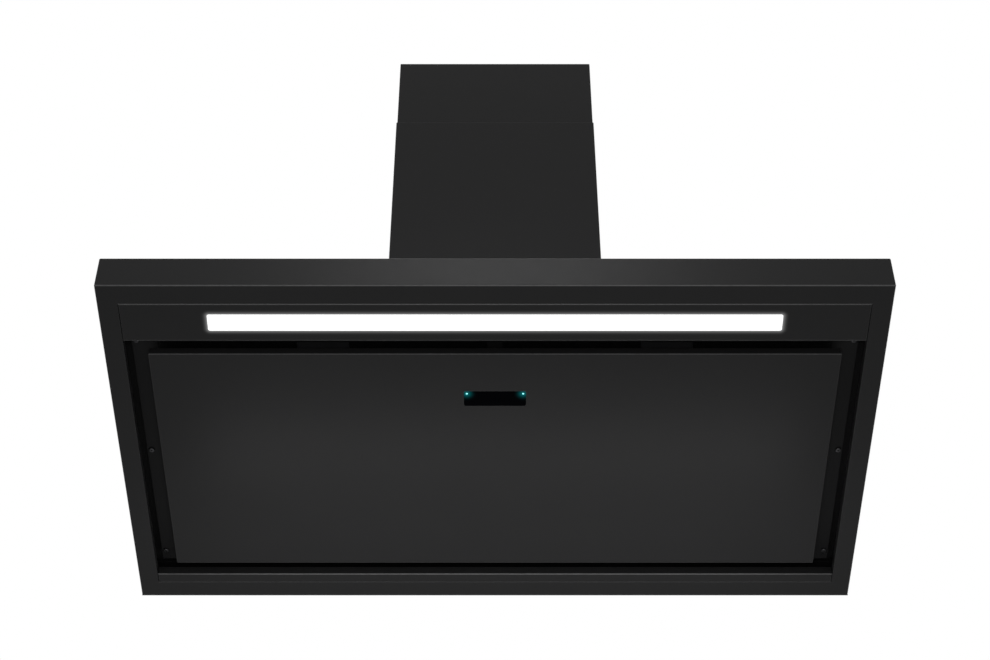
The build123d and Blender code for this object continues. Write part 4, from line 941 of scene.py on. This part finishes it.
@dataclass
class LightBar(SubAssembly):
    """The cross panel with its opal lens, and the light strip in its channel."""

    coats = {
        Finish.LIT_COAT: "front_light_panel",
        Finish.OPAL_LENS: "light_diffuser",
        Finish.CHANNEL: "light_channel",
    }
    chip_count: int = 36
    chip: float = 3.0 * MM
    chip_height: float = 0.8 * MM
    chip_frame: float = 0.4 * MM
    chip_sink: float = 0.2 * MM
    chip_taper: float = 0.92
    chip_corner: float = 0.2 * MM
    board: float = 1.6 * MM
    corner: float = 0.3 * MM
    resistor_half: Point = (1.0 * MM, 0.6 * MM, 0.45 * MM)
    resistor_side: float = 3.5 * MM
    resistor_ends: float = 1.4
    clamp_half: Pair = (3.0 * MM, 3.2 * MM)
    clamp_drop: float = 0.75 * MM
    clamp_place: float = 3.2 * MM
    port: float = 0.8 * MM

    def model(self) -> None:
        """Model the light strip: its board, framed chips, resistors and a wire clamp."""
        low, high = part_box("led_strip")
        under = high.z - self.board
        middle = corner_mid(low, high)
        board = block((low.x, low.y, under), tuple(high))
        round_edges(board, self.corner, upright)
        self.shop.paint(board, Finish.BOARD)
        pitch = (high.x - low.x) / self.chip_count
        places = [Matrix.Translation((low.x + (index + 0.5) * pitch, middle.y, under))
                  for index in range(self.chip_count)]
        chips = copies(self.chip_model(), places)
        beside = Matrix.Translation((pitch / 2, self.resistor_side, 0))
        resistors = copies(self.resistor(), [place @ beside for place in places[:-1:3]])
        clamp = self.clamp((low.x + self.clamp_place, middle.y, under))
        strip = join([board, chips, resistors, clamp])
        self.shop.deliver(strip, "light_strip_detailed", self.body, Finish.BOARD, ["led_strip"])

    def chip_model(self) -> Piece:
        """Model one chip: a white frame round a sunk yellow field, hanging from Z = 0."""
        half = self.chip / 2
        chip = block((-half, -half, -self.chip_height), (half, half, 0))
        self.shop.paint(chip, Finish.WHITE_CASE, Finish.PHOSPHOR)
        pick(chip, downward)
        bpy.ops.mesh.inset(thickness=self.chip_frame)
        grow((0, 0, self.chip_sink), self.chip_taper)
        accent()
        round_edges(chip, self.chip_corner,
                    lambda at, way: upright(at, way) and abs(at.x) > half * ALONG)
        return chip

    def resistor(self) -> Piece:
        """Model one small resistor with its two tinned ends, hanging from Z = 0."""
        x, y, z = self.resistor_half
        body = block((-x, -y, -z), (x, y, 0))
        self.shop.paint(body, Finish.MOULDED, Finish.ZINC)
        pick(body, lambda at, normal: abs(normal.x) > ALONG)
        grow((0, 0, 0))
        bpy.ops.transform.resize(value=(self.resistor_ends, 1.0, 1.0))
        pick(body, lambda at, normal: abs(at.x) > x * 1.05)
        accent()
        return body

    def clamp(self, place: Point) -> Piece:
        """Model the two-way wire clamp at one end of the strip, under a point."""
        (x, y, z), (half, width), drop = place, self.clamp_half, self.clamp_drop
        clamp = block((x - half, y - width, z - drop), (x + half, y + width, z))
        round_edges(clamp, self.corner, lambda at, way: at.z < z - drop / 2)
        self.shop.paint(clamp, Finish.WHITE_CASE)
        for mid in (y - width / 2, y + width / 2):
            cut(clamp, block((x - half * 1.2, mid - self.port, z - drop * 0.8),
                             (x - half * 0.3, mid + self.port, z - drop * 0.2)))
        return clamp


@dataclass
class SuctionPanel(SubAssembly):
    """The panel that closes the underside, with its hinges, catches and touchless sensor."""

    body: str = "suction_panel"
    coats = {
        Finish.PANEL_COAT: "suction_panel",
        Finish.GLASS: "sensor_glass",
        Finish.LAMP: "status_lamps",
        Finish.MOULDED: "sensor_housing",
        Finish.BOARD: "sensor_board",
        Finish.ZINC: "strike_plates hinge_pins",
        Finish.MAGNET: "catch_magnets",
        Finish.INNER_BLACK: "hinge_bracket_left hinge_bracket_right",
    }


@dataclass
class GreaseFilters(SubAssembly):
    """The intake frame with its screws, and the two filters with their expanded-metal mesh."""

    coats = {
        Finish.INNER_BLACK: "intake_frame",
        Finish.ZINC: "frame_posts",
        Finish.FILTER_FRAME: "filter_frame_left filter_frame_right",
        Finish.MOULDED: "filter_latch_left filter_latch_right",
    }
    diamond: Pair = (15 * MM, 7.5 * MM)
    strand: float = 1.0 * MM
    layers: tuple[float, ...] = (0.13, 0.5, 0.87)
    spare: float = 1.575      # a sheet's width before it is cut, in diagonals of the filling

    def model(self) -> None:
        """Fit the frame's screws and weave the filters' mesh."""
        CrossScrew().fit(self.shop, "frame_screws", (0, 0, -1), self.body, Finish.BLACK_SCREW)
        for hand in ("left", "right"):
            self.weave(hand)

    def weave(self, hand: str) -> None:
        """Model one side's filter mesh from stacked layers of expanded metal."""
        node = f"filter_mesh_{hand}"
        low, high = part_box(node)
        sheets = []
        for index, share in enumerate(self.layers):
            height = low.z + share * (high.z - low.z)
            sheets.append(self.sheet(low, high, height, bool(index % 2)))
        mesh = join(sheets)
        self.shop.deliver(mesh, f"expanded_mesh_{hand}", self.body, Finish.FILTER_MESH, [node])

    def sheet(self, low: Vector, high: Vector, height: float, turned: bool) -> Piece:
        """Model one layer of expanded metal.

        Args:
            low: The filling's lowest corner.
            high: Its highest corner.
            height: The layer's middle on Z.
            turned: Whether its diamonds lie the other way.

        Returns:
            The layer, cut half a strand inside the filling's sides.
        """
        x_size, y_size = reversed(self.diamond) if turned else self.diamond
        middle = corner_mid(low, high)
        middle.z = height
        small = min(self.diamond)
        square = small / math.sqrt(2)
        count = int(self.spare * math.hypot(high.x - low.x, high.y - low.y) / square)
        clear()
        bpy.ops.mesh.primitive_grid_add(x_subdivisions=count, y_subdivisions=count,
                                        size=count * square, location=middle)
        sheet = settle(bpy.context.object)
        pick(sheet, lambda at, normal: True)
        bpy.ops.transform.rotate(value=math.radians(45), orient_axis="Z", center_override=middle)
        stretch = (x_size / small, y_size / small, 1.0)
        bpy.ops.transform.resize(value=stretch, center_override=middle)
        for corner, x, y in ((low, -1, 0), (high, 1, 0), (low, 0, -1), (high, 0, 1)):
            way = Vector((x, y, 0))
            edge = corner - way * self.strand / 2
            bpy.ops.mesh.select_all(action="SELECT")
            bpy.ops.mesh.bisect(plane_co=edge, plane_no=way, clear_outer=True)
        done()
        apply(sheet, "WIREFRAME", thickness=self.strand, use_even_offset=False,
              use_boundary=True)
        return sheet


@dataclass
class Blower(SubAssembly):
    """The galvanised box on the roof with the fan, its motor, scroll, collar and flaps."""

    coats = {
        Finish.GALVANISED: "motor_box box_back box_lid motor_spider",
        Finish.IMPELLER: "impeller",
        Finish.ZINC: "motor_shaft flap_pins",
        Finish.STATOR: "motor_stator",
        Finish.SHIELD: "motor_shields",
        Finish.RUBBER: "motor_bushes",
        Finish.WHITE_CASE: "motor_capacitor",
        Finish.SCROLL: "scroll_half_left scroll_half_right",
        Finish.MOULDED: "outlet_collar flap_front flap_rear",
    }

    def model(self) -> None:
        """Fit the blower's screws and rivets, and model its cable gland."""
        screw = CrossScrew()
        screw.fit(self.shop, "motor_box_screws", (0, 0, 1), self.body, Finish.ZINC)
        screw.fit(self.shop, "collar_screws", (0, 0, 1), self.body, Finish.ZINC)
        screw.fit(self.shop, "motor_screws", (1, 0, 0), self.body, Finish.ZINC)
        self.rivets()
        self.gland()

    def rivets(self) -> None:
        """Model the blind rivets along the sides of the box's lid."""
        low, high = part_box("box_lid")
        inset = 5 * MM
        step = (high.y - low.y - 2 * inset) / 3
        places = [Matrix.Translation((side * (high.x - inset), low.y + inset + row * step, high.z))
                  for side in (-1, 1) for row in range(4)]
        rivets = copies(PopRivet().model(), places)
        self.shop.deliver(rivets, "box_rivets", self.body, Finish.ZINC)

    def gland(self) -> None:
        """Model the cable gland in the box's lid."""
        low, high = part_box("cable_gland")
        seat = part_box("box_lid")[1].z
        centre = corner_mid(low, high)
        gland = CableGland().model((centre.x, centre.y, seat), high.z)
        self.shop.deliver(gland, "cable_gland_detailed", self.body, Finish.MOULDED, ["cable_gland"])


@dataclass
class Chimney(SubAssembly):
    """The two telescoping chimney sections and the bracket that rides with the upper one."""

    body: str = "upper_chimney"
    coats = {
        Finish.CHIMNEY_COAT: "lower_chimney upper_chimney",
        Finish.GALVANISED: "chimney_bracket",
    }

    def model(self) -> None:
        """Fit both sections' screws."""
        screw = CrossScrew()
        screw.fit(self.shop, "chimney_foot_screws", (0, 0, 1), "hood", Finish.ZINC)
        screw.fit(self.shop, "chimney_screws", (0, 0, 0), self.body, Finish.BLACK_SCREW)


# --- Studio ---
@dataclass(frozen=True)
class Softbox:
    """A soft lamp: its place, what it points at, its size, its watts and its beam's spread."""

    name: str
    place: Point
    target: Point
    size: Pair
    power: float
    spread: float = 180.0

    def build(self) -> None:
        """Make the lamp."""
        data = bpy.data.lights.new(self.name, "AREA")
        data.shape = "RECTANGLE"
        data.size, data.size_y = self.size
        data.energy = self.power
        data.spread = math.radians(self.spread)
        lamp = bpy.data.objects.new(self.name, data)
        lamp.location = self.place
        way = Vector(self.target) - Vector(self.place)
        lamp.rotation_euler = way.to_track_quat("-Z", "Y").to_euler()
        lamp.visible_camera = False
        bpy.context.collection.objects.link(lamp)


@dataclass(frozen=True)
class Studio:
    """The camera at the photograph's angle, the lamps, the pale floor and the white surround."""

    frame_width: int = 990
    focal_pixels: float = 2232.0
    camera_place: Point = (0.0, -2.1458, -1.9025)
    elevation: float = 48.34
    floor_level: float = -4.5
    floor_size: float = 24.0
    floor_tones: Pair = (0.88, 0.91)
    floor_fade: Pair = (6.0, 12.0)
    floor_lift: Pair = (0.38, 0.62)
    fill: float = 0.46
    softboxes: tuple[Softbox, ...] = (
        Softbox("front_softbox", (0.0, -1.29, 0.94), (-0.01, -0.52, 0.02), (0.44, 0.28), 0.54,
                60.0),
        Softbox("under_softbox", (0.0, -0.6, -2.1), (0.0, -0.3, 0.0), (2.0, 1.4), 4.5),
        Softbox("panel_softbox", (0.01, -0.12, -0.16), (0.01, -0.12, 0.0), (0.76, 0.09), 0.62),
        Softbox("camera_softbox", (0.0, -2.4, -2.0), (0.0, -0.4, 0.0), (0.7, 0.4), 15.5),
        Softbox("room_softbox", (-2.2, -2.2, 0.9), (0.0, -0.2, 0.2), (1.6, 1.6), 8.0),
        Softbox("side_softbox", (2.2, 1.8, 1.2), (0.2, -0.1, 0.3), (1.4, 1.4), 24.0),
    )

    def build(self) -> None:
        """Make the whole studio."""
        self.camera()
        for softbox in self.softboxes:
            softbox.build()
        self.floor()
        self.surround()
        bpy.context.scene.view_settings.view_transform = "Standard"

    def camera(self) -> None:
        """Make the camera, which looks up at the hood's underside from the front."""
        data = bpy.data.cameras.new("camera")
        data.sensor_width = 36.0
        data.lens = self.focal_pixels * data.sensor_width / self.frame_width
        data.clip_start, data.clip_end = 0.05, 60.0
        camera = bpy.data.objects.new("camera", data)
        camera.location = self.camera_place
        camera.rotation_euler = (math.radians(90.0 + self.elevation), 0.0, 0.0)
        bpy.context.collection.objects.link(camera)
        bpy.context.scene.camera = camera

    def floor(self) -> None:
        """Make the plain pale floor far below the hood, which fades into the white surround."""
        clear()
        middle = (0.0, 0.0, self.floor_level)
        bpy.ops.mesh.primitive_plane_add(size=self.floor_size, location=middle)
        floor = settle(bpy.context.object)
        floor.name = "floor"
        tree = Tree("pale_floor")
        mottle = tree.tones(tree.noise(0.7), (1.0, 1.0, 1.0), self.floor_tones)
        away = tree.add("VectorMath", {0: tree.place}, operation="LENGTH").outputs["Value"]
        fade = tree.span(away, self.floor_fade, self.floor_lift)
        tree.set(Base_Color=mottle, Roughness=0.9, Specular_IOR_Level=0.1, Emission_Color=WHITE,
                 Emission_Strength=tree.maths("MULTIPLY", tree.seen(), fade))
        floor.data.materials.append(tree.material)

    def surround(self) -> None:
        """Make the world: white where it is seen, reflected or seen through, else a grey fill."""
        world = bpy.data.worlds.new("surround")
        world.use_nodes = True
        bpy.context.scene.world = world
        sky = Nodes(world.node_tree)
        background = sky.tree.nodes["Background"]
        sky.plug(background.inputs["Strength"], sky.span(sky.seen(), UNIT, (self.fill, 1.0)))
        sky.plug(background.inputs["Color"], WHITE)


def main() -> None:
    """Build the studio and the hood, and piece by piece."""
    logging.basicConfig(level=logging.INFO, format="%(message)s", stream=sys.stdout)
    Studio().build()
    shop = Workshop()
    for group in (Canopy, LightBar, SuctionPanel, GreaseFilters, Blower, Chimney):
        LOG.info("making %s", group.__name__)
        group(shop).make()
    clear()


if __name__ == "__main__":
    main()
